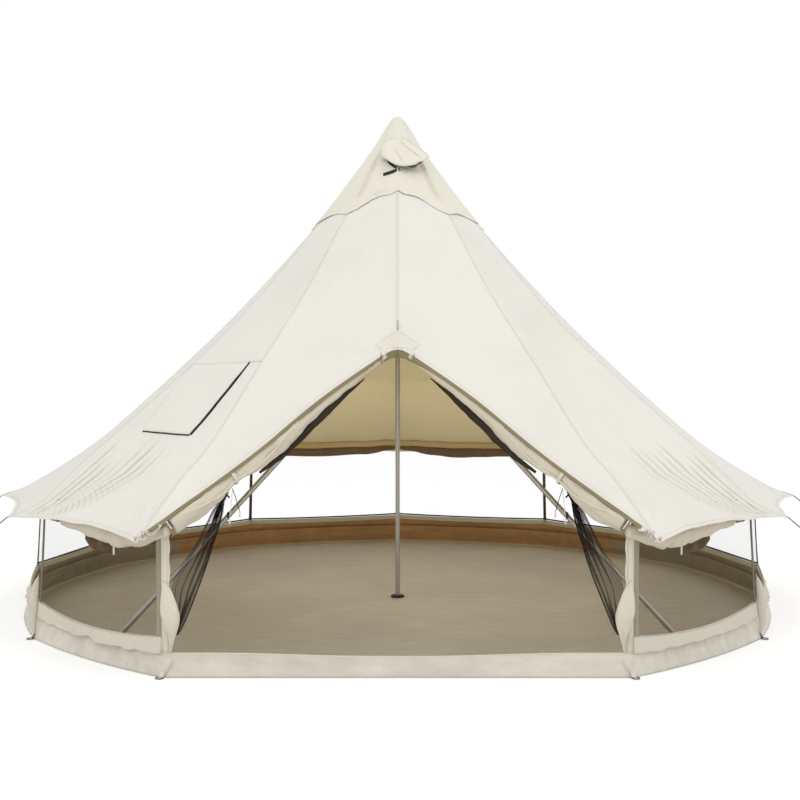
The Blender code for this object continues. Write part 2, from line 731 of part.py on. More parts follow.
def build_apex_cap():
    """Second layer over the apex, with a scalloped hem and the vent's opening."""
    angles = [k * CORNER_STEP / 2 for k in range(24)]
    levels = [CAP_FIRST_RING, VENT_TOP - VENT_HEM, VENT_BOTTOM + VENT_HEM, None]
    bm = bmesh.new()
    skins = []
    for lift in (CAP_LIFT + CAP_CANVAS, CAP_LIFT):
        tip = bm.verts.new((0.0, 0.0, TENT_HEIGHT - (0.0 if lift > CAP_LIFT else CAP_TIP_DEPTH)))
        rings = []
        for level in levels:
            distances = [cap_drop(angle) if level is None else level for angle in angles]
            rings.append([bm.verts.new(cap_point(angle, distance, lift)) for angle, distance in
                          zip(angles, distances)])
        skins.append((tip, rings))
    count = len(angles)
    vent = {(1, 0), (1, count - 1)}
    for tip, rings in skins:
        for k in range(count):
            bm.faces.new((tip, rings[0][k], rings[0][(k + 1) % count]))
            for i in range(len(levels) - 1):
                if (i, k) not in vent:
                    after = (k + 1) % count
                    bm.faces.new((rings[i][k], rings[i + 1][k], rings[i + 1][after], rings[i][after]))
    (_, outer), (_, inner) = skins
    for k in range(count):
        after = (k + 1) % count
        bm.faces.new((outer[-1][k], outer[-1][after], inner[-1][after], inner[-1][k]))
    for i, k, m in ((1, 0, 1), (1, count - 1, 0), (2, 0, 1), (2, count - 1, 0)):
        bm.faces.new((outer[i][k], outer[i][m], inner[i][m], inner[i][k]))
    for k in (1, count - 1):
        bm.faces.new((outer[1][k], outer[2][k], inner[2][k], inner[1][k]))
    return add_object("apex_cap", bm, CANVAS_COLOUR)


def build_vent_net():
    """Net across the vent, in the roof panels' opening under the cap."""
    grid = []
    middle = door_seam_path()
    for distance in (VENT_TOP + VENT_NET_GAP, VENT_BOTTOM - VENT_NET_GAP):
        share = distance / middle.length
        edges = []
        for side in (-1, 1):
            seam = signed_seam(CORNER_STEP * side)
            near, far = middle.at(share), seam.at(share * seam.share_at_height(DOOR_TOP))
            edges.append(near.lerp(far, VENT_SPREAD - VENT_NET_GAP / (far - near).length))
        grid.append([edges[0], middle.at(share), edges[1]])
    normals = grid_normals(grid)
    outer, inner = inset(grid, normals, VENT_NET_RECESS), inset(grid, normals, VENT_NET_RECESS + NET)
    return cloth_solid("vent_net", outer, inner, NET_COLOUR)


def hood_frame():
    """Hinge point of the hood and the directions across it, down the cap and off it."""
    down = (polar(0, FRAME_REACH, FRAME_TOP) - polar(0, APEX_OPENING_RADIUS, ROOF_TOP)).normalized()
    across = Vector((1.0, 0.0, 0.0))
    off = across.cross(down).normalized()
    if off.y > 0:
        off = -off
    hinge = polar(0, APEX_OPENING_RADIUS, ROOF_TOP) + down * HOOD_TOP + off * HOOD_LIFT
    return hinge, across, down, off


def open_hood(point, hinge, across):
    """Turn a point of the closed hood to where it stands at rest."""
    turn = Quaternion(across, math.radians(HOOD_OPEN_DEG))
    if (turn @ Vector((0.0, 0.0, -1.0))).y > 0:
        turn = turn.inverted()
    return hinge + turn @ (point - hinge)


def build_vent_hood():
    """Hood over the vent, sewn at its top and propped open at its foot."""
    hinge, across, down, off = hood_frame()
    skins = []
    for lift in (HOOD_CANVAS / 2, -HOOD_CANVAS / 2):
        grid = []
        for i in range(6):
            share = i / 5
            half = mix(HOOD_TOP_HALF_WIDTH, HOOD_HALF_WIDTH, share ** 0.8)
            line = []
            for j in range(9):
                over = j / 4 - 1
                drop = -HOOD_ARCH * share * over * over
                reach = HOOD_LENGTH * share * (1 - 0.16 * abs(over))
                point = hinge + across * (half * over) + down * reach + off * (drop + lift)
                line.append(open_hood(point, hinge, across))
            grid.append(line)
        skins.append(grid)
    return cloth_solid("vent_hood", skins[0], skins[1], CANVAS_COLOUR, origin=hinge)


def build_vent_strut():
    """Short stiff strap that props the hood off the cap."""
    hinge, across, down, off = hood_frame()
    reach = HOOD_LENGTH * STRUT_PLACE
    below = HOOD_CANVAS / 2 + TOUCH + STRUT_THICKNESS / 2
    pivot = open_hood(hinge + down * reach - off * below, hinge, across)
    along = (pivot - hinge).dot(down) - STRUT_STEP
    foot = hinge + down * along - off * (HOOD_CANVAS / 2 + TOUCH)
    span = (foot - pivot).normalized()
    thick = across.cross(span).normalized() * (STRUT_THICKNESS / 2)
    half = across * (STRUT_WIDTH / 2)
    rings = []
    for centre in (pivot, foot - span * TOUCH):
        corners = (half + thick, thick - half, -half - thick, half - thick)
        rings.append([centre + corner for corner in corners])
    return ring_loft("vent_strut", rings, BLACK, origin=pivot)


# Walls

def wall_angles(side_number):
    """Angles of the two corners of a wall side, numbered as the roof panel above it."""
    return (side_number - 1) * CORNER_STEP, side_number * CORNER_STEP


def wall_edge(side_number, radius, across, height, outward=0.0):
    """Point on a wall side, with the mitre gap kept at both corners."""
    start, end = wall_angles(side_number)
    near, far = polar(start, radius, height), polar(end, radius, height)
    way = (far - near).normalized()
    middle = direction((start + end) / 2)
    slip = outward * math.tan(math.radians(CORNER_STEP / 2))
    first = near + middle * outward + way * (TOUCH / 2 - slip)
    last = far + middle * outward - way * (TOUCH / 2 - slip)
    return first.lerp(last, across)


def wall_point(side_number, across, height, outward):
    """Point on the leaning wall at a height."""
    share = (height - UPSTAND_HEIGHT) / (WALL_LEAN_TOP - UPSTAND_HEIGHT)
    return wall_edge(side_number, mix(UPSTAND_RADIUS, WALL_TOP_RADIUS, share), across, height, outward)


def nearby(across, step):
    """Shares across a side from one column before a column to one after it."""
    return [min(max(across + step * k / 4, SEAM_MARGIN), 1 - SEAM_MARGIN) for k in range(-4, 5)]


def wall_top(side_number, across, outward):
    """Height at which a wall column stays under every roof facet beside it."""
    height = WALL_LEAN_TOP
    for _ in range(4):
        points = [wall_point(side_number, share, height, outward)
                  for share in nearby(across, 1 / WALL_COLUMNS)]
        height = min(underside(point.x, point.y) for point in points) - SEWN_GAP
    return height


def build_mesh_wall(side_number):
    """Net wall with bound edges and the canvas band at its foot."""
    side_length = 2 * UPSTAND_RADIUS * math.sin(math.radians(CORNER_STEP / 2))
    strip = WALL_EDGE_STRIP / side_length
    inner_columns = [mix(strip, 1 - strip, k / WALL_COLUMNS) for k in range(WALL_COLUMNS + 1)]
    columns = [0.0, *inner_columns, 1.0]
    tops = [wall_top(side_number, across, 0.0) for across in columns]
    levels = [[UPSTAND_HEIGHT + TOUCH] * len(columns), [WALL_BAND_TOP] * len(columns),
              [top - WALL_TOP_BAND for top in tops], tops]
    frame = []
    for outward in (0.0, -BINDING):
        frame.append([[wall_point(side_number, across, height, outward)
                       for across, height in zip(columns, row)] for row in levels])
    skip = {(1, j) for j in range(1, len(columns) - 2)}
    wall = cloth_solid(f"mesh_wall_{side_number:02d}", frame[0], frame[1], BINDING_COLOUR, skip=skip)
    net_edges = [strip - NET_OVERLAP / side_length, 1 - strip + NET_OVERLAP / side_length]
    net_top = min(tops) - WALL_TOP_BAND + NET_OVERLAP
    net_skins = []
    for outward in (-BINDING / 2 + NET / 2, -BINDING / 2 - NET / 2):
        net_skins.append([[wall_point(side_number, across, height, outward) for across in net_edges]
                          for height in (WALL_BAND_TOP - NET_OVERLAP, net_top)])
    net = cloth_solid(f"net_of_wall_{side_number:02d}", net_skins[0], net_skins[1], NET_COLOUR)
    PARTS.objects.unlink(net)
    CUTTERS.objects.link(net)
    combine(wall, net, "UNION")
    return wall


def build_wall_roll(side_number):
    """Canvas wall rolled up under the eave and tied at the seams."""
    rings = []
    lean = (UPSTAND_RADIUS - WALL_TOP_RADIUS) / (WALL_LEAN_TOP - UPSTAND_HEIGHT)
    for k in range(ROLL_COLUMNS + 1):
        across = k / ROLL_COLUMNS
        sag = abs(math.sin(math.pi * ROLL_LOBES * across)) ** ROLL_FULLNESS
        drop = mix(ROLL_DROP_TIED, ROLL_DROP, sag)
        thick = mix(ROLL_THICKNESS_TIED, ROLL_THICKNESS, sag)
        clear = 2 * TOUCH + lean * (WALL_LEAN_TOP - wall_top(side_number, across, 0.0) + drop)
        top = roll_top(side_number, across, clear + ROLL_NECK)
        foot = top - drop
        outline = [(clear, top), (clear + ROLL_NECK, top), (clear + 1.4 * ROLL_NECK, top - 0.30 * drop),
                   (clear + 0.80 * thick, top - 0.48 * drop), (clear + thick, top - 0.72 * drop),
                   (clear + 0.70 * thick, foot + 0.06 * drop), (clear + 0.30 * thick, foot),
                   (clear, foot + 0.16 * drop)]
        rings.append([wall_edge(side_number, WALL_TOP_RADIUS, across, height, outward)
                      for outward, height in outline])
    return ring_loft(f"wall_roll_{side_number:02d}", rings, ROLL_COLOUR)


def roll_top(side_number, across, outward):
    """Height of a roll's top edge, where its outer side meets the roof."""
    points = [wall_edge(side_number, WALL_TOP_RADIUS, share, 0.0, outward)
              for share in nearby(across, 1 / ROLL_COLUMNS)]
    return min(underside(point.x, point.y) for point in points) - SEWN_GAP


# Groundsheet

def floor_outline(radius):
    """Corners of the floor, with the straight threshold across the door."""
    return [polar(k * CORNER_STEP, radius, 0.0) for k in range(1, WALL_SIDES + 2)]


def inset_outline(points, depth):
    """Closed outline drawn in by a depth, edge by edge."""
    count = len(points)
    lines = []
    for k in range(count):
        near, far = points[k], points[(k + 1) % count]
        way = (far - near).normalized()
        inward = Vector((-way.y, way.x, 0.0))
        if inward.dot(near) > 0:
            inward = -inward
        lines.append((near + inward * depth, way))
    moved = []
    for k in range(count):
        (a, da), (b, db) = lines[k - 1], lines[k]
        cross = da.x * db.y - da.y * db.x
        gap = b - a
        moved.append(a + da * ((gap.x * db.y - gap.y * db.x) / cross))
    return moved


def build_groundsheet():
    """Floor and upstand in one welded tray, with a peg loop at each corner."""
    foot = floor_outline(FLOOR_RADIUS)
    rim = floor_outline(UPSTAND_RADIUS)
    lift = Vector((0.0, 0.0, UPSTAND_HEIGHT))
    belly = Vector((0.0, 0.0, UPSTAND_HEIGHT * 0.45))
    waist = [a.lerp(b, 0.25) for a, b in zip(foot, rim)]
    inner_foot, inner_waist, inner_rim = (inset_outline(ring, GROUNDSHEET) for ring in (foot, waist, rim))
    floor = Vector((0.0, 0.0, GROUNDSHEET))
    rings = [foot, [p + belly for p in waist], [p + lift for p in rim], [p + lift for p in inner_rim],
             [p + belly for p in inner_waist], [p + floor for p in inner_foot]]
    sheet = ring_loft("groundsheet", rings, SHEET_COLOUR, 0.6)
    for k in range(1, WALL_SIDES + 2):
        angle = k * CORNER_STEP
        centre = polar(angle, FLOOR_RADIUS + PEG_LOOP_RADIUS * 0.75, PEG_LOOP_LIFT)
        top = centre + Vector((0.0, 0.0, PEG_LOOP_THICKNESS))
        loop = cylinder(f"peg_loop_{k:02d}", PEG_LOOP_RADIUS, centre, top, BLACK, LOOP_SIDES, CUTTERS)
        reach = Vector((0.0, 0.0, CUTTER_REACH))
        hole = cylinder(f"peg_hole_{k:02d}", PEG_LOOP_HOLE, centre - reach, top + reach, BLACK, LOOP_SIDES,
                        CUTTERS)
        combine(loop, hole, "DIFFERENCE")
        combine(sheet, loop, "UNION")
    return sheet


# Door canvas and net

def build_door_roll(side):
    """Door canvas rolled along the hem and drawn in by its ties."""
    hem = door_hem_path(side)
    inside = mirrored(DOOR_ROLL_INWARD, side).normalized()
    rings = []
    last = len(DOOR_ROLL_RADII) - 1
    run = smooth([Vector((k, radius, 0.0)) for k, radius in enumerate(DOOR_ROLL_RADII)], 2)
    for station in run:
        share = mix(DOOR_ROLL_START, DOOR_ROLL_END, station.x / last)
        radius = station.y
        way = hem.along(share)
        off = (inside - way * inside.dot(way)).normalized()
        flat = way.cross(off).normalized()
        centre = hem.at(share) + off * (radius + DOOR_ROLL_CLEARANCE)
        for _ in range(8):
            nearest = ROOF.find_nearest(centre)[0]
            centre = nearest + (centre - nearest).normalized() * (radius + DOOR_ROLL_CLEARANCE)
        turns = [2 * math.pi * k / DOOR_ROLL_SIDES for k in range(DOOR_ROLL_SIDES)]
        rings.append([centre + (off * math.cos(turn) + flat * math.sin(turn) * DOOR_ROLL_FLATNESS) * radius
                      for turn in turns])
    name = "door_roll_right" if side > 0 else "door_roll_left"
    return ring_loft(name, rings, ROLL_COLOUR)


def net_edge(offsets):
    """One edge of the right net, from its tie to its foot."""
    top, foot = door_hem_run()[2], polar(CORNER_STEP, UPSTAND_RADIUS, WALL_BAND_TOP)
    last = len(offsets) - 1
    return [top.lerp(foot, k / last) + Vector(offset) for k, offset in enumerate(offsets)]


def build_door_net(side, roll):
    """Net door gathered into folds between the tied roll and the door's foot."""
    edges = [[mirrored(point, side) for point in smooth(net_edge(edge), 2)]
             for edge in (NET_ATTACHED_EDGE, NET_FREE_EDGE)]
    rings = []
    for near, far in zip(*edges):
        across = far - near
        depth = min(NET_FOLD_DEPTH, across.length * NET_FOLD_SLACK)
        off = Vector((-across.y, across.x, 0.0)).normalized() * side
        front, back = [], []
        for k in range(2 * NET_FOLDS + 1):
            wave = depth if k % 2 else 0.0
            point = near + across * (k / (2 * NET_FOLDS)) + off * wave
            front.append(point + off * (NET_BUNDLE / 2))
            back.append(point - off * (NET_BUNDLE / 2))
        rings.append(front + back[::-1])
    tie, foot = (edges[0][end].lerp(edges[1][end], 0.5) for end in (0, -1))
    axis = (foot - tie).normalized()
    over = (rings[1][0] - rings[1][len(rings[1]) // 2]).cross(axis).cross(axis).normalized()
    beside = axis.cross(over)
    roll_above = search_tree([roll])
    count = len(rings[0])
    spokes = []
    for k in range(count):
        turn = 2 * math.pi * (k + 0.5) / count * side
        spokes.append((over * math.cos(turn) + beside * math.sin(turn)) * NET_TIE_RADIUS)
    hits = [roll_above.ray_cast(tie + spoke + axis * NET_BELOW_ROLL, -axis)[0] for spoke in spokes]
    seat = tie + axis * (max((hit - tie).dot(axis) for hit in hits if hit) + SEWN_GAP)
    rings[0] = [seat + spoke for spoke in spokes]
    name = "door_net_right" if side > 0 else "door_net_left"
    return ring_loft(name, rings, NET_COLOUR, origin=seat)


# Poles

def build_centre_pole():
    """Three tubes that plug into each other, a foot and a top cap with a spike."""
    floor = GROUNDSHEET + TOUCH
    seat = floor + POLE_FOOT_HEIGHT + TOUCH
    spigot = POLE_BORE - SPIGOT_CLEARANCE
    first, second = POLE_FIRST_JOINT + POLE_OVERLAP, POLE_SECOND_JOINT + POLE_OVERLAP
    turned("pole_lower",
           [(POLE_FOOT_SECTION_RADIUS, first), (POLE_FOOT_SECTION_RADIUS, seat),
            (POLE_FOOT_SECTION_BORE, seat), (POLE_FOOT_SECTION_BORE, first)],
           TUBE_COLOUR, 0.4, 0.7)
    swage = POLE_SECOND_JOINT - TOUCH
    bore = spigot - SPIGOT_WALL
    turned("pole_middle",
           [(spigot, second), (spigot, swage), (POLE_RADIUS, swage), (POLE_RADIUS, POLE_FIRST_JOINT),
            (POLE_BORE, POLE_FIRST_JOINT), (POLE_BORE, swage - SWAGE_START), (bore, swage - SWAGE_END),
            (bore, second)],
           TUBE_COLOUR, 0.4, 0.7)
    cap_seat = ROOF_TOP - POLE_TOP_HEIGHT
    turned("pole_upper",
           [(POLE_RADIUS, cap_seat - TOUCH), (POLE_RADIUS, POLE_SECOND_JOINT),
            (POLE_BORE, POLE_SECOND_JOINT), (POLE_BORE, cap_seat - TOUCH)],
           TUBE_COLOUR, 0.4, 0.7)
    boss = POLE_FOOT_SECTION_BORE - SPIGOT_CLEARANCE
    disc = seat - TOUCH
    turned("pole_foot",
           [(0.0, seat + POLE_FOOT_BOSS), (boss, seat + POLE_FOOT_BOSS), (boss, disc),
            (POLE_FOOT_RADIUS - POLE_FOOT_CHAMFER, disc), (POLE_FOOT_RADIUS, disc - POLE_FOOT_CHAMFER),
            (POLE_FOOT_RADIUS, floor), (0.0, floor)],
           BLACK, 0.6, 0.0, closed=False)
    plug = POLE_BORE - SPIGOT_CLEARANCE
    tip = TENT_HEIGHT - CAP_TIP_DEPTH - POLE_SPIKE_GAP
    turned("pole_top",
           [(0.0, tip), (POLE_SPIKE_RADIUS, tip), (POLE_SPIKE_RADIUS, ROOF_TOP),
            (POLE_TOP_RADIUS - POLE_TOP_CHAMFER, ROOF_TOP),
            (POLE_TOP_RADIUS, ROOF_TOP - 2 * POLE_TOP_CHAMFER),
            (POLE_TOP_RADIUS, cap_seat), (plug, cap_seat), (plug, cap_seat - POLE_TOP_PLUG),
            (0.0, cap_seat - POLE_TOP_PLUG)],
           BLACK, 0.5, 0.0, closed=False)


def frame_axis(side):
    """Foot and top of a leg's axis."""
    foot = Vector((FRAME_FOOT_SPREAD * side, -FRAME_REACH, 0.0))
    top = Vector((0.0, -FRAME_REACH, FRAME_AXIS_TOP))
    return foot, top


def build_frame_elbow():
    """Bent piece at the A-frame's top, with a spigot for each leg and the spike."""
    foot, top = frame_axis(1)
    lean = math.atan2(FRAME_AXIS_TOP, FRAME_FOOT_SPREAD)
    tangent_length = FRAME_BEND_RADIUS * math.tan(lean)
    way = (foot - top).normalized()
    centre_height = FRAME_AXIS_TOP - FRAME_BEND_RADIUS / math.cos(lean)
    points = []
    reaches = (FRAME_ELBOW_ARM + tangent_length, tangent_length)
    for side in (-1, 1):
        points.append([top + mirrored(way, side) * distance for distance in reaches])
    centre = Vector((0.0, -FRAME_REACH, centre_height))
    turns = [mix(-lean, lean, k / FRAME_BEND_STEPS) for k in range(1, FRAME_BEND_STEPS)]
    arc = [centre + Vector((math.sin(turn), 0.0, math.cos(turn))) * FRAME_BEND_RADIUS for turn in turns]
    route = [points[0][0], points[0][1], *arc, points[1][1], points[1][0]]
    curve = bpy.data.curves.new("frame_elbow_route", "CURVE")
    curve.dimensions = "3D"
    curve.bevel_depth = FRAME_RADIUS
    curve.bevel_resolution = 2
    curve.use_fill_caps = True
    spline = curve.splines.new("POLY")
    spline.points.add(len(route) - 1)
    for slot, point in zip(spline.points, route):
        slot.co = (*point, 1.0)
    guide = bpy.data.objects.new("frame_elbow_route", curve)
    CUTTERS.objects.link(guide)
    bpy.context.view_layer.update()
    mesh = bpy.data.meshes.new_from_object(guide.evaluated_get(bpy.context.evaluated_depsgraph_get()))
    bm = bmesh.new()
    bm.from_mesh(mesh)
    bmesh.ops.remove_doubles(bm, verts=bm.verts, dist=0.00005)
    bpy.data.objects.remove(guide, do_unlink=True)
    elbow = add_object("frame_elbow", bm, TUBE_COLOUR, 0.4, 0.7)
    spigot = FRAME_BORE - SPIGOT_CLEARANCE
    for side, arm in zip((-1, 1), points):
        end = arm[0] + mirrored(way, side) * FRAME_SPIGOT
        root = arm[0] - mirrored(way, side) * SWAGE_END
        plug = cylinder(f"elbow_spigot_{side:+d}", spigot, root, end, TUBE_COLOUR, collection=CUTTERS)
        combine(elbow, plug, "UNION")
    spike_root = polar(0, FRAME_REACH, centre_height + FRAME_BEND_RADIUS)
    spike = cylinder("elbow_spike", FRAME_SPIKE_RADIUS, spike_root, polar(0, FRAME_REACH, FRAME_SPIKE_TOP),
                     TUBE_COLOUR, SPIKE_SIDES, CUTTERS)
    combine(elbow, spike, "UNION")
    return FRAME_ELBOW_ARM + tangent_length


def build_frame_legs(elbow_reach):
    """Two tubes in each leg, plugged together, on rubber feet."""
    for side, word in ((1, "right"), (-1, "left")):
        foot, top = frame_axis(side)
        axis = top - foot
        place = Matrix.Translation(foot) @ axis.to_track_quat("Z", "Y").to_matrix().to_4x4()
        start = FRAME_FOOT_LIFT
        joint = axis.length * FRAME_JOINT_SHARE
        end = axis.length - elbow_reach - TOUCH
        spigot = FRAME_BORE - SPIGOT_CLEARANCE
        bore = spigot - SPIGOT_WALL
        turned(f"frame_leg_lower_{word}",
               [(spigot, joint + FRAME_SPIGOT), (spigot, joint), (FRAME_RADIUS, joint), (FRAME_RADIUS, start),
                (FRAME_BORE, start), (FRAME_BORE, joint - SWAGE_START), (bore, joint - SWAGE_END),
                (bore, joint + FRAME_SPIGOT)],
               TUBE_COLOUR, 0.4, 0.7, place)
        turned(f"frame_leg_upper_{word}",
               [(FRAME_RADIUS, end), (FRAME_RADIUS, joint + TOUCH), (FRAME_BORE, joint + TOUCH),
                (FRAME_BORE, end)],
               TUBE_COLOUR, 0.4, 0.7, place)
        build_frame_foot(word, place, start)


def build_frame_foot(word, place, start):
    """Rubber cap on the end of a leg, cut flat where it stands on the groundsheet."""
    bore = FRAME_RADIUS + TOUCH
    rim = start + FRAME_FOOT_LENGTH
    foot = turned(f"frame_foot_{word}",
                  [(0.0, start - TOUCH), (bore, start - TOUCH), (bore, rim), (FRAME_FOOT_RADIUS, rim),
                   (FRAME_FOOT_RADIUS, -FRAME_FOOT_EXCESS), (0.0, -FRAME_FOOT_EXCESS)],
                  BLACK, 0.7, 0.0, place, closed=False)
    slab_top = GROUNDSHEET + TOUCH
    bm = bmesh.new()
    bmesh.ops.create_cube(bm, size=FLOOR_CUT_SIZE)
    below = Vector((0.0, 0.0, slab_top - FLOOR_CUT_SIZE / 2))
    bmesh.ops.translate(bm, verts=bm.verts, vec=place.translation + below)
    slab = add_object(f"floor_cut_{word}", bm, BLACK, collection=CUTTERS)
    combine(foot, slab, "DIFFERENCE")
    return foot


# Guy ropes

def build_guy_rope(word, angle, side):
    """Start of a guy rope, which ends in a knot just past the eave tip."""
    tip = SEAMS[round(angle / CORNER_STEP), side].at(1.0)
    fall = math.radians(ROPE_FALL_DEG)
    way = direction(angle * side) * math.cos(fall) - Vector((0.0, 0.0, math.sin(fall)))
    corners = [vertex.co for panel in ROOF_PANELS for vertex in panel.data.vertices
               if (vertex.co - tip).length < 2 * CANVAS]
    centre = sum(corners, Vector()) / len(corners)
    start = centre + way * (max((corner - centre).dot(way) for corner in corners) + TOUCH)
    end = start + way * ROPE_LENGTH
    rope = cylinder(f"guy_rope_{word}", ROPE_RADIUS, start, end, BLACK, ROPE_SIDES)
    bm = bmesh.new()
    bmesh.ops.create_uvsphere(bm, u_segments=KNOT_SIDES, v_segments=KNOT_RINGS, radius=ROPE_KNOT_RADIUS)
    bmesh.ops.translate(bm, verts=bm.verts, vec=end)
    knot = add_object(f"knot_{word}", bm, BLACK, collection=CUTTERS)
    combine(rope, knot, "UNION")
    return rope


SEAMS = {(step, side): seam_path(step * CORNER_STEP * side) for step in range(1, 7) for side in (1, -1)}
ROOF_PANELS = [build_roof_panel(step, side) for side in (1, -1) for step in range(6)]
ROOF = search_tree(ROOF_PANELS)

build_stove_jack()
build_stove_flap()
build_apex_cap()
build_vent_net()
build_vent_hood()
build_vent_strut()
for wall in range(2, 12):
    build_mesh_wall(wall)
    build_wall_roll(wall)
build_groundsheet()
for door_side in (1, -1):
    build_door_net(door_side, build_door_roll(door_side))
build_centre_pole()
build_frame_legs(build_frame_elbow())
for rope_side, rope_word in ((1, "right"), (-1, "left")):
    build_guy_rope(f"{rope_word}_corner", 2 * CORNER_STEP, rope_side)
    build_guy_rope(f"{rope_word}_side", 3 * CORNER_STEP, rope_side)
bpy.context.view_layer.update()
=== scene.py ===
"""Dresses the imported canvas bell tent: cloth, net, rolls, poles, ropes and trim.

Metres, +Z up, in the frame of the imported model. Angles in plan are counted in degrees from
the door, positive towards +X.
"""

import bisect
import logging
import math
from dataclasses import dataclass, field
from enum import Enum
from typing import Any, Callable, Iterable, Optional, Sequence

import bmesh
import bpy
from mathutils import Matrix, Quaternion, Vector, noise
from mathutils.bvhtree import BVHTree


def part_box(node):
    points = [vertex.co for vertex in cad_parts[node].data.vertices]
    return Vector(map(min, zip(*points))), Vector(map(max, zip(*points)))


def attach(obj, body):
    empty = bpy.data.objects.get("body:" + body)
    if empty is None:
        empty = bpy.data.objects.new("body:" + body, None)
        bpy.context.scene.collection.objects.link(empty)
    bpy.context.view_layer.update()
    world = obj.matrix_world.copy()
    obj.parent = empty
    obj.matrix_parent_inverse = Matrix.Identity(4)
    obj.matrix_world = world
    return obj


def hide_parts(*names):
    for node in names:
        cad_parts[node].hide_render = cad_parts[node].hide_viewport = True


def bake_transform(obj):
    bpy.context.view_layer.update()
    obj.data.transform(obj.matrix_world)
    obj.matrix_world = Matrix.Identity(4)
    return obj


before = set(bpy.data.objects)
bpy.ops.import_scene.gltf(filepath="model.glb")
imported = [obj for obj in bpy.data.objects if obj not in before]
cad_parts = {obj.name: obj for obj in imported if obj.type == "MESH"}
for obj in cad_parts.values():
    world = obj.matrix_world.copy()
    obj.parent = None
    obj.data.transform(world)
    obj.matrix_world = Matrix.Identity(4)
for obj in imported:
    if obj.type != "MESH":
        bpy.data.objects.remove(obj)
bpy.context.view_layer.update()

LOG = logging.getLogger("bell_tent")
Grid = list[list[Vector]]
Amount = float | Vector
Signal = float | Sequence[float] | bpy.types.NodeSocket
UP = Vector((0.0, 0.0, 1.0)).freeze()
FRONT = Vector((0.0, -1.0, 0.0)).freeze()
SIDES = {"right": 1, "left": -1}
CLOSE = 1e-6


# Points and runs

def direction(angle: float) -> Vector:
    """Horizontal unit vector at an angle from the door."""
    turn = math.radians(angle)
    return Vector((math.sin(turn), -math.cos(turn), 0.0))


def tangent(angle: float) -> Vector:
    """Horizontal unit vector towards growing angles."""
    turn = math.radians(angle)
    return Vector((math.cos(turn), math.sin(turn), 0.0))


def polar(angle: float, radius: float, height: float) -> Vector:
    """Point at a plan angle, a distance from the pole and a height."""
    return direction(angle) * radius + Vector((0.0, 0.0, height))


def mirrored(point: Sequence[float], side: int) -> Vector:
    """The point on the right for side +1, and its mirror image for side -1."""
    return Vector((point[0] * side, point[1], point[2]))


def mix(near: Amount, far: Amount, share: float) -> Amount:
    """Value between two others."""
    return near + (far - near) * share


def clamp(value: float, low: float = 0.0, high: float = 1.0) -> float:
    """The value, kept between two others."""
    return min(max(value, low), high)


def ease(value: float, low: float, high: float) -> float:
    """Smooth step from 0 at low to 1 at high."""
    t = clamp((value - low) / (high - low))
    return t * t * (3.0 - 2.0 * t)


def hump(value: float, middle: float, width: float) -> float:
    """Soft bump from 0 to 1 about a middle."""
    return math.exp(-((value - middle) / width) ** 2)


def way_at(points: Sequence[Vector], k: int) -> Vector:
    """Unit direction of travel at one of a line's points."""
    return (points[min(k + 1, len(points) - 1)] - points[max(k - 1, 0)]).normalized()


def square(arm: Vector, way: Vector) -> Vector:
    """Unit part of a vector that is square to a direction."""
    return (arm - way * arm.dot(way)).normalized()


def outwards(out: Vector, point: Vector, middle: float = 0.4) -> Vector:
    """The direction, turned round where it points at the tent's middle at a height."""
    return -out if out.dot(point - Vector((0.0, 0.0, middle))) < 0 else out


def smooth(points: Sequence[Vector], steps: int = 12) -> list[Vector]:
    """Points of a smooth curve through the given ones.

    Args:
        points: places that the curve passes through.
        steps: steps between two places.

    Returns:
        The curve's points.
    """
    ends = [points[0] * 2 - points[1], *points, points[-1] * 2 - points[-2]]
    curve = []
    for before, near, far, after in zip(ends, ends[1:], ends[2:], ends[3:]):
        for step in range(steps):
            t = step / steps
            slope = (far - before) * t
            bend = (2 * before - 5 * near + 4 * far - after) * t * t
            twist = (3 * near - before - 3 * far + after) * t ** 3
            curve.append(0.5 * (2 * near + slope + bend + twist))
    curve.append(points[-1].copy())
    return curve


class Run:
    """A run of points read by its share of the whole length."""

    def __init__(self, points: Sequence[Vector]) -> None:
        """Measure the run.

        Args:
            points: the run's points in order.
        """
        self.points = list(points)
        self.reach = [0.0]
        for near, far in zip(points, points[1:]):
            self.reach.append(self.reach[-1] + (far - near).length)
        self.length = self.reach[-1]

    def at(self, share: float) -> Vector:
        """Point at a share of the length.

        Args:
            share: the share from 0 to 1.

        Returns:
            The point.
        """
        distance = clamp(share) * self.length
        index = int(clamp(bisect.bisect_right(self.reach, distance), 1, len(self.points) - 1))
        span = self.reach[index] - self.reach[index - 1]
        gone = (distance - self.reach[index - 1]) / span
        return self.points[index - 1].lerp(self.points[index], gone)

    def along(self, share: float) -> Vector:
        """Unit direction of travel at a share of the length."""
        return (self.at(share + 0.004) - self.at(share - 0.004)).normalized()

    def share_at_height(self, height: float) -> float:
        """Share where a falling run passes a height.

        Args:
            height: the height.

        Returns:
            The share from 0 to 1.
        """
        low, high = 0.0, 1.0
        for _ in range(40):
            middle = (low + high) / 2
            if self.at(middle).z > height:
                low = middle
            else:
                high = middle
        return low

    def even(self, count: int) -> list[Vector]:
        """The run as a count of even steps."""
        return [self.at(k / count) for k in range(count + 1)]


# Finishes

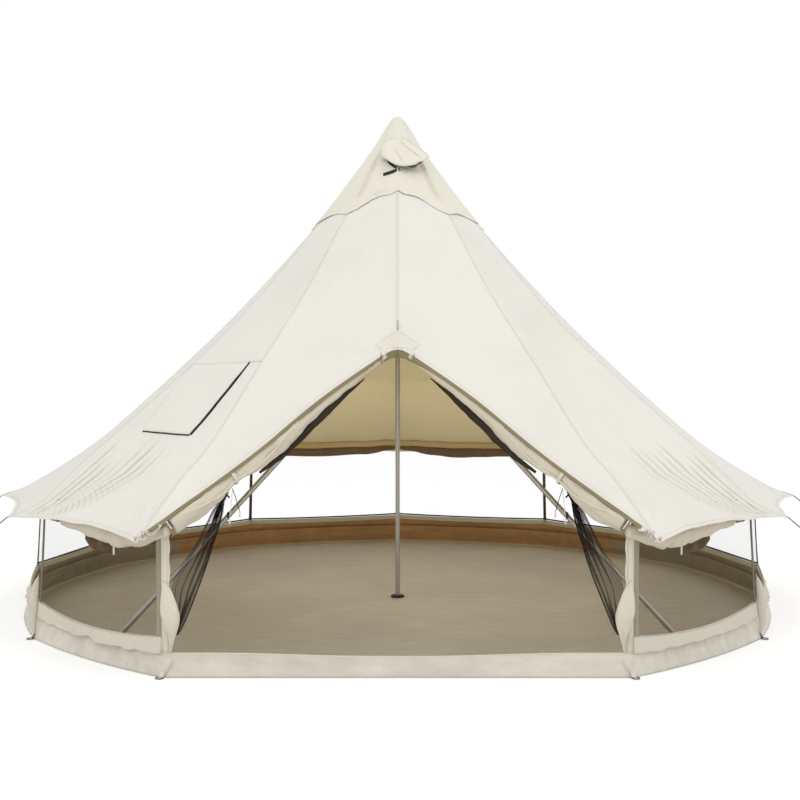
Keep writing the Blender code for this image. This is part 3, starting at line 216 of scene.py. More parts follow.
class Nodes:
    """Short way to add and join the nodes of one tree."""

    def __init__(self, tree: bpy.types.NodeTree, prefix: str = "ShaderNode") -> None:
        """Take a tree.

        Args:
            tree: the tree that gets the nodes.
            prefix: what the names of its node types start with.
        """
        self.tree = tree
        self.prefix = prefix

    def add(self, kind: str, settings: Optional[dict] = None, **inputs: Any) -> bpy.types.Node:
        """Add a node.

        Args:
            kind: the node's type without its prefix.
            settings: the node's own properties.
            inputs: values or sockets for its inputs, by name with _ for a space, or by i and number.

        Returns:
            The new node.
        """
        node = self.tree.nodes.new(kind if kind.startswith("Function") else self.prefix + kind)
        for key, value in (settings or {}).items():
            setattr(node, key, value)
        for key, value in inputs.items():
            numbered = key[0] == "i" and key[1:].isdigit()
            self.put(node.inputs[int(key[1:]) if numbered else key.replace("_", " ")], value)
        return node

    def put(self, socket: bpy.types.NodeSocket, value: Any) -> None:
        """Set an input, or join it to an output.

        Args:
            socket: the input.
            value: its value, or the output.
        """
        if isinstance(value, bpy.types.NodeSocket):
            self.tree.links.new(value, socket)
        else:
            socket.default_value = value

    def math(self, operation: str, a: Signal, b: Signal = 0.0) -> bpy.types.NodeSocket:
        """Output of a Math node."""
        return self.add("Math", {"operation": operation}, i0=a, i1=b).outputs[0]

    def seen_white(self) -> bpy.types.NodeSocket:
        """Find where the camera, glass or metal looks.

        Returns:
            1 there, and 0 elsewhere.
        """
        path = self.add("LightPath")
        seen = self.math("MAXIMUM", path.outputs["Is Camera Ray"], path.outputs["Is Glossy Ray"])
        return self.math("MAXIMUM", seen, path.outputs["Is Transmission Ray"])


class Kit(Nodes):
    """The nodes of one material with a Principled shader."""

    def __init__(self, name: str) -> None:
        """Start the material.

        Args:
            name: the material's name.
        """
        self.material = bpy.data.materials.new(name)
        self.material.use_nodes = True
        super().__init__(self.material.node_tree)
        self.shader = self.tree.nodes["Principled BSDF"]

    def look(self, **inputs: Signal) -> None:
        """Set or join the shader's inputs, by name with _ for a space."""
        for key, value in inputs.items():
            self.put(self.shader.inputs[key.replace("_", " ")], value)

    def place(self, kind: str) -> bpy.types.NodeSocket:
        """Coordinates for a pattern: Object, or the piece's own UV map."""
        return self.add("TexCoord").outputs[kind]

    def noise(self, vector: Signal, scale: float, detail: float = 3.0,
              rough: float = 0.55) -> bpy.types.NodeSocket:
        """Output of a Noise Texture."""
        made = self.add("TexNoise", None, Vector=vector, Scale=scale, Detail=detail, Roughness=rough)
        return made.outputs["Fac"]

    def waves(self, vector: Signal, way: str, scale: float) -> bpy.types.NodeSocket:
        """Output of a Wave Texture."""
        return self.add("TexWave", {"bands_direction": way}, Vector=vector, Scale=scale).outputs["Fac"]

    def cells(self, vector: Signal, scale: float) -> bpy.types.NodeSocket:
        """Distance to the nearest edge of a cell pattern."""
        made = self.add("TexVoronoi", {"feature": "DISTANCE_TO_EDGE"}, Vector=vector, Scale=scale)
        return made.outputs["Distance"]

    def stretched(self, vector: Signal, scale: Sequence[float]) -> bpy.types.NodeSocket:
        """Vector with each axis scaled."""
        return self.add("Mapping", None, Vector=vector, Scale=tuple(scale)).outputs[0]

    def shared(self, first: Signal, second: Signal, share: float) -> bpy.types.NodeSocket:
        """Two values together, the first by its share and the second by the rest."""
        near, far = self.math("MULTIPLY", first, share), self.math("MULTIPLY", second, 1.0 - share)
        return self.math("ADD", near, far)

    def tint(self, factor: Signal, dark: Sequence[float], light: Sequence[float],
             span: Sequence[float]) -> bpy.types.NodeSocket:
        """Colour a factor.

        Args:
            factor: the value that picks the colour.
            dark: the colour at the span's low end.
            light: the colour at its high end.
            span: the factor's low and high values.

        Returns:
            The colour.
        """
        ramp = self.add("ValToRGB", None, Fac=factor)
        for element, place, colour in zip(ramp.color_ramp.elements, span, (dark, light)):
            element.position, element.color = place, (*colour, 1.0)
        return ramp.outputs["Color"]

    def bump(self, height: Signal, distance: float, strength: float = 1.0,
             normal: Optional[bpy.types.NodeSocket] = None) -> bpy.types.NodeSocket:
        """Raise a pattern in relief.

        Args:
            height: the pattern.
            distance: its height in metres.
            strength: how strongly it shows.
            normal: the relief that it lies on.

        Returns:
            The normal.
        """
        node = self.add("Bump", None, Height=height, Distance=distance, Strength=strength)
        if normal is not None:
            self.put(node.inputs["Normal"], normal)
        return node.outputs["Normal"]


def linear(red: int, green: int, blue: int) -> tuple[float, float, float]:
    """Linear colour of a display colour from 0 to 255.

    Args:
        red: red part.
        green: green part.
        blue: blue part.

    Returns:
        The three linear parts.
    """
    parts = []
    for value in (red, green, blue):
        share = value / 255
        parts.append(share / 12.92 if share <= 0.04045 else ((share + 0.055) / 1.055) ** 2.4)
    return tuple(parts)


def shaded(colour: Sequence[float], factor: float) -> tuple[float, float, float]:
    """The colour made lighter or darker."""
    return tuple(min(part * factor, 1.0) for part in colour)


@dataclass(frozen=True)
class Surface:
    """What every finish has: a name, a colour and a material that is made once."""

    name: str
    colour: tuple[float, float, float]

    def material(self) -> bpy.types.Material:
        """Find the material, or make it.

        Returns:
            The material.
        """
        found = bpy.data.materials.get(self.name)
        if found is None:
            kit = Kit(self.name)
            self.dress(kit)
            found = kit.material
        return found

    def dress(self, kit: Kit) -> None:
        """Add the finish's own nodes."""
        raise NotImplementedError(self.name)

    def toned(self, kit: Kit, factor: Signal, shades: Sequence[float],
              span: Sequence[float]) -> bpy.types.NodeSocket:
        """The colour between a darker and a lighter shade of it."""
        return kit.tint(factor, shaded(self.colour, shades[0]), shaded(self.colour, shades[1]), span)


@dataclass(frozen=True)
class Canvas(Surface):
    """Plain-woven cotton: threads, slubs, soft creases and a little soiling."""

    thread: float = 900.0
    crease: float = 0.004
    soil: float = 0.06
    # Colour factor at the bottom of a fold: painted shade of the wrinkles.
    fold: tuple[float, float, float] = (0.68, 0.65, 0.50)
    roughness: float = 0.92

    def dress(self, kit: Kit) -> None:
        """Add the weave on the UV map in metres, the creases and the painted shade in the folds.

        Args:
            kit: the empty material.
        """
        uv = kit.place("UV")
        spot = kit.place("Object")
        warp = kit.waves(uv, "X", self.thread / 6.283)
        weft = kit.waves(uv, "Y", self.thread / 6.283)
        weave = kit.math("MULTIPLY", warp, weft)
        slub = kit.noise(kit.stretched(uv, (260.0, 14.0, 1.0)), 1.0, 2.0)
        pick = kit.noise(kit.stretched(uv, (14.0, 260.0, 1.0)), 1.0, 2.0)
        yarn = kit.math("ADD", slub, pick)
        tone = kit.shared(yarn, kit.noise(spot, 2.2, 4.0), 0.35)
        base = self.toned(kit, tone, (1.0 - self.soil, 1.0 + self.soil * 0.6), (0.38, 0.72))
        # The fold attribute darkens the colour: painted shade in the wrinkles and creases.
        fold = kit.add("Attribute", {"attribute_name": "fold"}).outputs["Fac"]
        light = kit.tint(fold, (1.0, 1.0, 1.0), self.fold, (0.0, 1.0))
        base = kit.add("VectorMath", {"operation": "MULTIPLY"}, i0=base, i1=light).outputs[0]
        creases = kit.noise(spot, 7.0, 5.0, 0.6)
        lines = kit.math("MINIMUM", kit.cells(spot, 5.5), 0.06)
        normal = kit.bump(creases, self.crease)
        normal = kit.bump(lines, self.crease * 1.2, 0.5, normal)
        normal = kit.bump(yarn, 0.0004, 0.6, normal)
        normal = kit.bump(weave, 0.00025, 0.7, normal)
        kit.look(Base_Color=base, Normal=normal, Roughness=self.roughness, Sheen_Weight=0.15,
                 Sheen_Roughness=0.6, Specular_IOR_Level=0.2)


@dataclass(frozen=True)
class NetCloth(Surface):
    """Fine knitted net that is seen through."""

    cover: float

    def dress(self, kit: Kit) -> None:
        """Add the mesh pattern, with one cover all over.

        Args:
            kit: the empty material.
        """
        uv = kit.place("UV")
        spot = kit.place("Object")
        cells = kit.cells(uv, 420.0)
        drift = kit.noise(spot, 5.0, 4.0)
        tone = kit.math("ADD", kit.math("MULTIPLY", cells, 0.5), drift)
        kit.look(Base_Color=self.toned(kit, tone, (0.8, 1.3), (0.35, 0.75)),
                 Normal=kit.bump(cells, 0.0003, 0.6), Roughness=0.75, Alpha=self.cover,
                 Specular_IOR_Level=0.15)


@dataclass(frozen=True)
class WovenSheet(Surface):
    """Coated woven floor cloth with packing creases."""

    crease: float = 0.004
    roughness: float = 0.5

    def dress(self, kit: Kit) -> None:
        """Add the crinkles, with their painted shade in the colour, and the fold lines.

        Args:
            kit: the empty material.
        """
        spot = kit.place("Object")
        broad = kit.noise(spot, 1.3, 3.0)
        crinkle_and_shade = kit.noise(kit.stretched(spot, (4.5, 26.0, 12.0)), 1.0, 6.0, 0.65)
        fine = kit.noise(spot, 60.0, 3.0, 0.6)
        # Colour follows a random broad tone and the crinkles: painted shade and light of the crinkles.
        base = self.toned(kit, kit.shared(broad, crinkle_and_shade, 0.45), (0.84, 1.12), (0.36, 0.66))
        folds = kit.math("MINIMUM", kit.cells(kit.stretched(spot, (1.0, 2.1, 1.0)), 4.2), 0.05)
        normal = kit.bump(crinkle_and_shade, self.crease)
        normal = kit.bump(folds, self.crease, 0.7, normal)
        normal = kit.bump(fine, 0.0006, 0.5, normal)
        kit.look(Base_Color=base, Normal=normal, Roughness=self.roughness, Specular_IOR_Level=0.35)


@dataclass(frozen=True)
class Webbing(Surface):
    """Ribbed woven strap or cord."""

    rib: float = 700.0
    roughness: float = 0.8

    def dress(self, kit: Kit) -> None:
        """Add the ribs on the UV map in metres.

        Args:
            kit: the empty material.
        """
        uv = kit.place("UV")
        ribs = kit.waves(uv, "Y", self.rib / 6.283)
        cross = kit.waves(uv, "DIAGONAL", self.rib / 9.0)
        weave = kit.shared(ribs, cross, 0.7)
        kit.look(Base_Color=self.toned(kit, weave, (0.8, 1.15), (0.2, 0.8)),
                 Normal=kit.bump(weave, 0.0004, 0.8), Roughness=self.roughness)


@dataclass(frozen=True)
class Metal(Surface):
    """Galvanised tube with drawing marks and small scuffs."""

    roughness: float = 0.38

    def dress(self, kit: Kit) -> None:
        """Add the marks and the bloom.

        Args:
            kit: the empty material.
        """
        spot = kit.place("Object")
        streaks = kit.noise(kit.stretched(spot, (160.0, 160.0, 3.0)), 1.0, 4.0)
        bloom = kit.noise(spot, 26.0, 5.0, 0.65)
        base = self.toned(kit, kit.shared(streaks, bloom, 0.4), (0.78, 1.14), (0.36, 0.64))
        rough = kit.math("ADD", kit.math("MULTIPLY", bloom, 0.22), self.roughness - 0.1)
        kit.look(Base_Color=base, Roughness=rough, Normal=kit.bump(streaks, 0.0002, 0.4), Metallic=0.85)


@dataclass(frozen=True)
class Moulded(Surface):
    """Moulded plastic or rubber with a faint texture."""

    roughness: float = 0.5

    def dress(self, kit: Kit) -> None:
        """Add the grain and the wear.

        Args:
            kit: the empty material.
        """
        spot = kit.place("Object")
        grain = kit.noise(spot, 900.0, 2.0)
        wear = kit.noise(spot, 40.0, 4.0)
        kit.look(Base_Color=self.toned(kit, wear, (0.85, 1.25), (0.4, 0.7)),
                 Normal=kit.bump(grain, 0.0002, 0.5), Roughness=self.roughness)


class Finish(Enum):
    """Every finish on the tent."""

    ROOF = Canvas("roof_canvas", linear(233, 230, 221))
    CAP = Canvas("cap_canvas", linear(233, 229, 214))
    # Inner face of the roof and cap canvas: the same cloth in painted shade, with a painted warm glow of
    # light through it.
    ROOF_INSIDE_SHADE = Canvas("roof_inside_shade", linear(196, 182, 141), crease=0.003)
    SEAM = Canvas("seam_canvas", linear(229, 225, 213), crease=0.001)
    HEM = Canvas("hem_canvas", linear(231, 227, 216), crease=0.0015)
    OLIVE = Canvas("olive_band", linear(158, 151, 128), crease=0.0015)
    # Olive strips at the corners away from the door: the olive band in painted shade.
    OLIVE_SHADED = Canvas("olive_strip_shaded", linear(118, 115, 99), crease=0.001)
    FACING = Canvas("door_facing", linear(140, 128, 97), crease=0.002)
    DOOR = Canvas("door_canvas", linear(214, 205, 184), crease=0.006)
    WALL_IN = Canvas("wall_inside", linear(104, 80, 52), crease=0.006)
    WALL_OUT = Canvas("wall_outside", linear(214, 208, 192), crease=0.006)
    TAN = Canvas("tan_band", linear(170, 148, 100), crease=0.002)
    BROWN = WovenSheet("upstand_inside", linear(170, 131, 88), 0.012, 0.6)
    DIM = WovenSheet("upstand_inside_dim", linear(146, 134, 112), 0.008, 0.6)
    UPSTAND = WovenSheet("upstand_outside", linear(219, 214, 200), 0.003, 0.55)
    FLOOR = WovenSheet("floor_sheet", linear(180, 172, 155), 0.015, 0.5)
    # Inner face of the canvas strips at the corners: the strip in painted shade, as seen from inside.
    STRIP_SHADE = Canvas("strip_inside_shade", linear(70, 61, 52), crease=0.001)
    # Cream binding inside the sides behind the pole: the binding in painted shade.
    BINDING_SHADED = Canvas("binding_far_shade", linear(190, 182, 158), crease=0.001)
    BINDING = Canvas("cream_binding", linear(222, 216, 197), crease=0.001)
    NET = NetCloth("wall_net", linear(58, 54, 48), 0.06)
    NET_FAR = NetCloth("wall_net_far", linear(90, 86, 80), 0.03)
    CURTAIN = NetCloth("door_net", linear(44, 40, 37), 0.26)
    NET_ROLL = NetCloth("rolled_net", linear(52, 46, 37), 0.93)
    BLACK_WEB = Webbing("black_webbing", linear(34, 32, 31))
    CREAM_WEB = Webbing("cream_webbing", linear(226, 222, 208))
    THREAD = Webbing("thread", linear(214, 208, 190), 2000.0)
    ROPE = Webbing("rope", linear(44, 42, 40), 900.0)
    TUBE = Metal("tube", linear(150, 141, 124), 0.46)
    RING = Metal("bright_ring", linear(196, 194, 188), 0.3)
    PLASTIC = Moulded("black_plastic", linear(36, 35, 35))
    RUBBER = Moulded("black_rubber", linear(30, 30, 30), 0.75)
    GLASS = Canvas("stove_cloth", linear(168, 168, 162), thread=600.0, crease=0.001, roughness=0.6)
    TOGGLE = Moulded("toggle", linear(205, 198, 178), 0.55)

    def material(self) -> bpy.types.Material:
        """The finish's material."""
        return self.value.material()


# Pieces

def piece(name: str, vertices: Sequence[Vector], faces: Sequence[Sequence[int]], finishes: Sequence[Finish],
          uv: Optional[Sequence[Sequence[float]]] = None, slots: Optional[Sequence[int]] = None,
          shade: bool = True) -> bpy.types.Object:
    """Make a mesh object at the origin.

    Args:
        name: the piece's name.
        vertices: its points in the tent's frame.
        faces: its faces as indices.
        finishes: its material slots in order.
        uv: one place in metres for each vertex, for the weave.
        slots: the material slot of each face.
        shade: smooth shading.

    Returns:
        The new object.
    """
    mesh = bpy.data.meshes.new(name)
    mesh.from_pydata([tuple(v) for v in vertices], [], [tuple(f) for f in faces])
    if uv is not None:
        layer = mesh.uv_layers.new(name="cloth")
        flat = [0.0] * (2 * len(mesh.loops))
        for loop in mesh.loops:
            flat[2 * loop.index], flat[2 * loop.index + 1] = uv[loop.vertex_index]
        layer.data.foreach_set("uv", flat)
    for finish in finishes:
        mesh.materials.append(finish.material())
    if slots is not None:
        mesh.polygons.foreach_set("material_index", list(slots))
    mesh.polygons.foreach_set("use_smooth", [shade] * len(mesh.polygons))
    mesh.validate()
    made = bpy.data.objects.new(name, mesh)
    bpy.context.scene.collection.objects.link(made)
    return made


def face_out(obj: bpy.types.Object, weld: float = 0.0) -> bpy.types.Object:
    """Close tiny gaps between vertices and turn all faces outwards.

    Args:
        obj: the piece.
        weld: distance under which vertices are joined, or 0 for none.

    Returns:
        The same object.
    """
    bm = bmesh.new()
    bm.from_mesh(obj.data)
    if weld:
        bmesh.ops.remove_doubles(bm, verts=bm.verts, dist=weld)
    bmesh.ops.recalc_face_normals(bm, faces=bm.faces)
    bm.to_mesh(obj.data)
    bm.free()
    return obj


def thicken(obj: bpy.types.Object, thickness: float, inner: int = 0, rim: int = 0,
            offset: float = -1.0) -> bpy.types.Object:
    """Give an open sheet its thickness.

    Args:
        obj: the sheet.
        thickness: in metres.
        inner: how many slots further the inner side's material is.
        rim: the same for the rim.
        offset: -1 inwards, 0 to both sides.

    Returns:
        The same object.
    """
    solid = obj.modifiers.new("thickness", "SOLIDIFY")
    solid.thickness = thickness
    solid.offset = offset
    solid.material_offset = inner
    solid.material_offset_rim = rim
    return obj


def grid_piece(name: str, grid: Grid, finishes: Sequence[Finish], skip: Iterable[tuple[int, int]] = (),
               closed: bool = False, slots: Optional[Callable[[int, int], int]] = None,
               scale: float = 1.0) -> bpy.types.Object:
    """Sheet over a grid of points, with its UV map in metres.

    Args:
        name: the piece's name.
        grid: rows of points.
        finishes: its material slots.
        skip: cells left open.
        closed: the last column joins the first.
        slots: the material slot of a cell.
        scale: factor on the UV map.

    Returns:
        The new object.
    """
    rows, columns = len(grid), len(grid[0])
    points = [point for row in grid for point in row]
    uv = []
    down = 0.0
    for i, row in enumerate(grid):
        if i:
            down += sum((a - b).length for a, b in zip(row, grid[i - 1])) / columns
        over = 0.0
        for j, point in enumerate(row):
            if j:
                over += (point - row[j - 1]).length
            uv.append((over * scale, down * scale))
    faces, chosen = [], []
    hidden = set(skip)
    for i in range(rows - 1):
        for j in range(columns if closed else columns - 1):
            if (i, j) in hidden:
                continue
            k = (j + 1) % columns
            faces.append((i * columns + j, (i + 1) * columns + j, (i + 1) * columns + k, i * columns + k))
            chosen.append(slots(i, j) if slots else 0)
    return piece(name, points, faces, finishes, uv, chosen)


def swept(name: str, rings: Sequence[Sequence[Vector]], finishes: Sequence[Finish], closed: bool = False,
          caps: bool = True, slot: Callable[[int, int], int] = lambda i, j: 0) -> bpy.types.Object:
    """Closed piece through rings with as many points each.

    Args:
        name: the piece's name.
        rings: the rings in order.
        finishes: its material slots.
        closed: the last ring joins the first.
        caps: close the first and the last ring.
        slot: the material slot of the face after ring i and point j.

    Returns:
        The new object.
    """
    count, sides = len(rings), len(rings[0])
    points = [point for ring in rings for point in ring]
    uv, run = [], 0.0
    for i, ring in enumerate(rings):
        if i:
            run += (ring[0] - rings[i - 1][0]).length
        around = 0.0
        for j, point in enumerate(ring):
            if j:
                around += (point - ring[j - 1]).length
            uv.append((around, run))
    faces, slots = [], []
    for i in range(count if closed else count - 1):
        after = (i + 1) % count
        for j in range(sides):
            k = (j + 1) % sides
            faces.append((i * sides + j, i * sides + k, after * sides + k, after * sides + j))
            slots.append(slot(i, j))
    if caps and not closed:
        faces.append(tuple(range(sides)))
        faces.append(tuple((count - 1) * sides + j for j in reversed(range(sides))))
        slots += [slot(0, 0), slot(count - 2, 0)]
    return face_out(piece(name, points, faces, finishes, uv, slots))


def frames(points: Sequence[Vector], normal: Optional[Vector] = None) -> list[tuple[Vector, Vector, Vector]]:
    """Direction of travel and two directions square to it at each point, without twist.

    Args:
        points: points of a line.
        normal: direction to start from, if any.

    Returns:
        The direction of travel and the two others, for each point.
    """
    found = []
    last = normal
    for k in range(len(points)):
        way = way_at(points, k)
        last = square(way.orthogonal() if last is None else last, way)
        found.append((way, last, way.cross(last)))
    return found


def tube(name: str, points: Sequence[Vector], radius: float | Sequence[float], finish: Finish,
         sides: int = 10, flat: float = 1.0, normal: Optional[Vector] = None) -> bpy.types.Object:
    """Round or flattened tube along points.

    Args:
        name: the piece's name.
        points: its centreline.
        radius: one radius, or one for each point.
        finish: its finish.
        sides: facets round it.
        flat: height over width of its section.
        normal: direction of its height at the start.

    Returns:
        The new object.
    """
    rings = []
    for k, (point, (_, up, over)) in enumerate(zip(points, frames(points, normal))):
        reach = radius[k] if isinstance(radius, (list, tuple)) else radius
        rings.append([point + (up * math.sin(t) * flat + over * math.cos(t)) * reach
                      for t in (2 * math.pi * s / sides for s in range(sides))])
    return swept(name, rings, [finish])


def strap(name: str, points: Sequence[Vector], ups: Sequence[Vector], width: float, thick: float,
          finish: Finish) -> bpy.types.Object:
    """Flat strap along points, with rounded edges.

    Args:
        name: the piece's name.
        points: its centreline.
        ups: the direction off its face at each point.
        width: across it.
        thick: through it.
        finish: its finish.

    Returns:
        The new object.
    """
    outline = ((-1, -0.5), (-0.9, -1), (0.9, -1), (1, -0.5), (1, 0.5), (0.9, 1), (-0.9, 1), (-1, 0.5))
    rings = []
    for k, (point, up) in enumerate(zip(points, ups)):
        way = way_at(points, k)
        over = way.cross(up).normalized()
        lift = over.cross(way).normalized()
        rings.append([point + over * (width / 2 * a) + lift * (thick / 2 * b) for a, b in outline])
    return swept(name, rings, [finish])


def ring_of(name: str, centre: Vector, axis: Vector, radius: float, thick: float, finish: Finish,
            sides: int = 24, squash: float = 1.0) -> bpy.types.Object:
    """Round ring about an axis.

    Args:
        name: the piece's name.
        centre: its middle.
        axis: the direction through its hole.
        radius: to the middle of its wire.
        thick: the wire's radius.
        finish: its finish.
        sides: steps round it.
        squash: height over width of the ring.

    Returns:
        The new object.
    """
    over = axis.orthogonal().normalized()
    up = axis.normalized().cross(over)
    rings = []
    for k in range(sides):
        t = 2 * math.pi * k / sides
        out = over * math.cos(t) + up * math.sin(t) * squash
        rings.append([centre + out * (radius + thick * math.cos(s)) + axis.normalized() * thick * math.sin(s)
                      for s in (2 * math.pi * m / 8 for m in range(8))])
    return swept(name, rings, [finish], closed=True)


def joined(name: str, parts: Sequence[bpy.types.Object]) -> bpy.types.Object:
    """One piece out of several plain meshes, keeping their materials and UV maps.

    Args:
        name: the new piece's name.
        parts: the meshes.

    Returns:
        The new object.
    """
    for part in parts:
        part.select_set(True)
    with bpy.context.temp_override(active_object=parts[0], selected_editable_objects=list(parts)):
        bpy.ops.object.join()
    parts[0].name = name
    parts[0].data.name = name
    parts[0].select_set(False)
    return parts[0]


def baked(obj: bpy.types.Object) -> bpy.types.Object:
    """Turn all modifiers of a piece into its plain mesh.

    Args:
        obj: the piece.

    Returns:
        The same object.
    """
    graph = bpy.context.evaluated_depsgraph_get()
    shown = obj.evaluated_get(graph)
    mesh = bpy.data.meshes.new_from_object(shown, preserve_all_data_layers=True, depsgraph=graph)
    obj.modifiers.clear()
    obj.data = mesh
    return obj


def settle(obj: bpy.types.Object, body: str, slot: str, *nodes: str) -> bpy.types.Object:
    """Let a piece ride on a body and stand for CAD nodes.

    Args:
        obj: the finished piece.
        body: the body that it rides on.
        slot: not used.
        nodes: the CAD nodes that it stands for.

    Returns:
        The same object.
    """
    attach(obj, body)
    if nodes:
        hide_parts(*nodes)
    LOG.info("%s on %s", obj.name, body)
    return obj


# The tent's shape

@dataclass(frozen=True)
class Seam:
    """Eave tip of a seam, and its bow as shares (out from the axis, down from the tip)."""

    radius: float
    height: float
    bow: tuple


@dataclass(frozen=True)
class Plan:
    """Sizes that the pieces share with the solids."""

    step: float = 30.0
    floor_radius: float = 2.306
    upstand_radius: float = 2.275
    door_post_radius: float = 2.300
    floor_bow: float = 0.050
    wall_top_radius: float = 2.235
    height: float = 3.0
    roof_top: float = 2.955
    upstand: float = 0.12
    wall_lean_top: float = 0.76
    band_top: float = 0.195
    canvas: float = 0.002
    floor_cloth: float = 0.0025
    apex_radius: float = 0.03
    scallop: float = 0.066
    frame_reach: float = 1.41
    frame_top: float = 1.698
    door_top: float = 1.595
    vent_top: float = 0.22
    vent_bottom: float = 0.33
    vent_spread: float = 0.45
    flap_top_height: float = 1.505
    jack_margin: float = 0.10
    jack_length: float = 0.30
    jack_door_side: float = 0.36
    jack_seam_side: float = 0.74

    def seam_shape(self, angle: float) -> Seam:
        """Shape of the seam at an angle.

        Args:
            angle: plan angle of the seam.

        Returns:
            The seam's shape.
        """
        named = {
            30: Seam(2.491, 0.692,
                     ((0.242, 0.279), (0.407, 0.468), (0.582, 0.638), (0.759, 0.812), (0.862, 0.885))),
            60: Seam(2.440, 0.682,
                     ((0.225, 0.290), (0.400, 0.497), (0.558, 0.650), (0.813, 0.871), (0.930, 0.974))),
            90: Seam(2.487, 0.645,
                     ((0.176, 0.253), (0.413, 0.527), (0.644, 0.755), (0.779, 0.873), (0.922, 0.966))),
        }
        back = Seam(2.470, 0.690,
                    ((0.202, 0.277), (0.437, 0.537), (0.660, 0.753), (0.810, 0.872), (0.903, 0.948)))
        return named.get(round(abs(angle)), back)

    def seam_run(self, angle: float) -> Run:
        """Outer face of the roof along a seam, from the apex to the eave tip.

        Args:
            angle: plan angle of the seam.

        Returns:
            The run down the seam.
        """
        shape = self.seam_shape(angle)
        drop = self.height - shape.height
        points = [polar(angle, self.apex_radius, self.roof_top)]
        points += [polar(angle, out * shape.radius, self.height - down * drop) for out, down in shape.bow]
        points.append(polar(angle, shape.radius, shape.height))
        return Run(smooth(points))

    def middle_run(self) -> Run:
        """The straight seam above the door, over the A-frame to the hem."""
        return Run([polar(0, self.apex_radius, self.roof_top), polar(0, self.frame_reach, self.frame_top),
                    Vector((0.0, -1.50, self.door_top))])

    def hem_run(self, side: int) -> Run:
        """The door's hem from its middle to the eave.

        Args:
            side: +1 on the right, -1 on the left.

        Returns:
            The run along the hem.
        """
        run = [Vector(point) for point in ((0.030, -1.506, 1.591), (0.082, -1.520, 1.560),
                                           (0.393, -1.66, 1.346), (0.752, -1.88, 1.058),
                                           (1.195, -2.105, 0.745))]
        return Run([Vector((0.0, -1.50, self.door_top)), *(mirrored(point, side) for point in smooth(run))])


PLAN = Plan()
SEAMS = {(k, side): PLAN.seam_run(k * PLAN.step * side) for k in range(1, 7) for side in (1, -1)}
MIDDLE = PLAN.middle_run()
HEMS = {side: PLAN.hem_run(side) for side in (1, -1)}
SPLIT = SEAMS[1, 1].share_at_height(PLAN.door_top)


def from_tip(point: Vector, corner: int, side: int) -> tuple[float, float, float]:
    """Distance from an eave tip, angle away from its seam, and phase of the wrinkles that fan from it.

    Args:
        point: a point of the roof.
        corner: number of the tip's seam from the door.
        side: +1 on the right, -1 on the left.

    Returns:
        The distance, the angle and the phase.
    """
    tip = SEAMS[corner, side].at(1.0)
    up = (SEAMS[corner, side].at(0.75) - tip).normalized()
    reach = (point - tip).dot(up)
    away = (point - tip).length
    lean = math.atan2((point - tip - up * reach).length, reach)
    wander = noise.noise(Vector((away * 2.6, corner * 7.3, side * 3.1)))
    return away, lean, lean * 20.0 + wander * 1.5 * ease(lean, 0.0, 0.3)


def fold_lines(step: int, side: int, across: float, share: float) -> float:
    """How deep a point lies in the long wrinkles of the stove panel and its mirror image.

    Args:
        step: number of the panel from the door.
        side: +1 on the right, -1 on the left.
        across: share across the panel.
        share: share down the panel.

    Returns:
        The depth from 0 to 1.
    """
    if step != 1 or across >= 1.0:
        return 0.0
    gathered = min(1.0, max(1.02 - share, 0.01) / 0.14) ** 0.6
    place = (1.0 - across) / gathered + 0.02 * noise.noise(Vector((share * 9.0, side * 2.0, 0.3)))
    count = 14.0
    number = math.floor(place * count)
    chance = 0.5 + noise.noise(Vector((number * 3.71, side * 1.3, 0.9)))
    upper = mix(0.72, 0.84, clamp(0.5 + noise.noise(Vector((number * 2.17, side * 5.1, 4.2)))))
    reach = ease(share, upper, upper + 0.06) * (1.0 - ease(share, 0.975, 0.998))
    reach *= ease(place, 0.02, 0.08) * (1.0 - ease(place, 0.50, 0.74))
    return abs(math.sin(math.pi * count * place)) ** 5 * clamp(0.25 + chance) * reach


def paint_fold_shade(obj: bpy.types.Object, folds: Sequence[float]) -> None:
    """Write how deep in a wrinkle each point lies, for the canvas finish to paint shade there."""
    layer = obj.data.attributes.new("fold", "FLOAT", "POINT")
    layer.data.foreach_set("value", list(folds))


def relief(point: Vector, step: int, side: int, across: float, share: float) -> float:
    """How far the real cloth stands off the taut surface, outwards.

    Args:
        point: the place on the taut surface.
        step: the panel, counted from the door.
        side: +1 on the right, -1 on the left.
        across: share across the panel, from the seam nearer the door.
        share: share down the panel.

    Returns:
        The distance in metres.
    """
    belly = 4.0 * across * (1.0 - across)
    height = 0.0
    if step == 1:
        height = (0.003 - 0.006 * fold_lines(step, side, across, share)) * min(belly * 4.0, 1.0)
    height -= 0.012 * belly * ease(share, 0.06, 0.55) * (1.0 - 0.5 * ease(share, 0.8, 1.0))
    height += 0.006 * noise.noise(point * 1.7) * belly
    height += 0.0022 * noise.noise(point * 6.0) * ease(share, 0.05, 0.3) * min(belly * 2.0, 1.0)
    for corner in (step, step + 1):
        if corner == 0:
            continue
        away, lean, phase = from_tip(point, corner, side)
        if away > 1.3:
            continue
        height += 0.0060 * math.cos(phase * 0.75) * math.exp(-away / 0.42) * ease(away, 0.02, 0.22)
        uneven = 0.75 + noise.noise(Vector((lean * 6.0, corner * 3.0 + away * 1.5, side * 1.7)))
        strong = 0.009 if corner == 2 and step == 1 else 0.005
        sharp = strong * (1.0 - abs(math.sin(phase))) ** 3
        height += sharp * uneven * math.exp(-away / 0.55) * ease(away, 0.03, 0.16) * ease(lean, 0.04, 0.12)
    flutter = math.sin(across * math.pi * 6.0 + step * 2.1 + side) * 0.6
    flutter += math.sin(across * math.pi * 10.0 + step) * 0.4
    height += 0.0045 * flutter * ease(share, 0.90, 1.0) * min(belly * 1.5, 1.0)
    if step == 0:
        fold = hump(share, SPLIT, 0.10) * math.exp(-across * 5.0)
        height += 0.003 * math.cos(across * 60.0) * fold * ease(across, 0.0, 0.05)
    return height


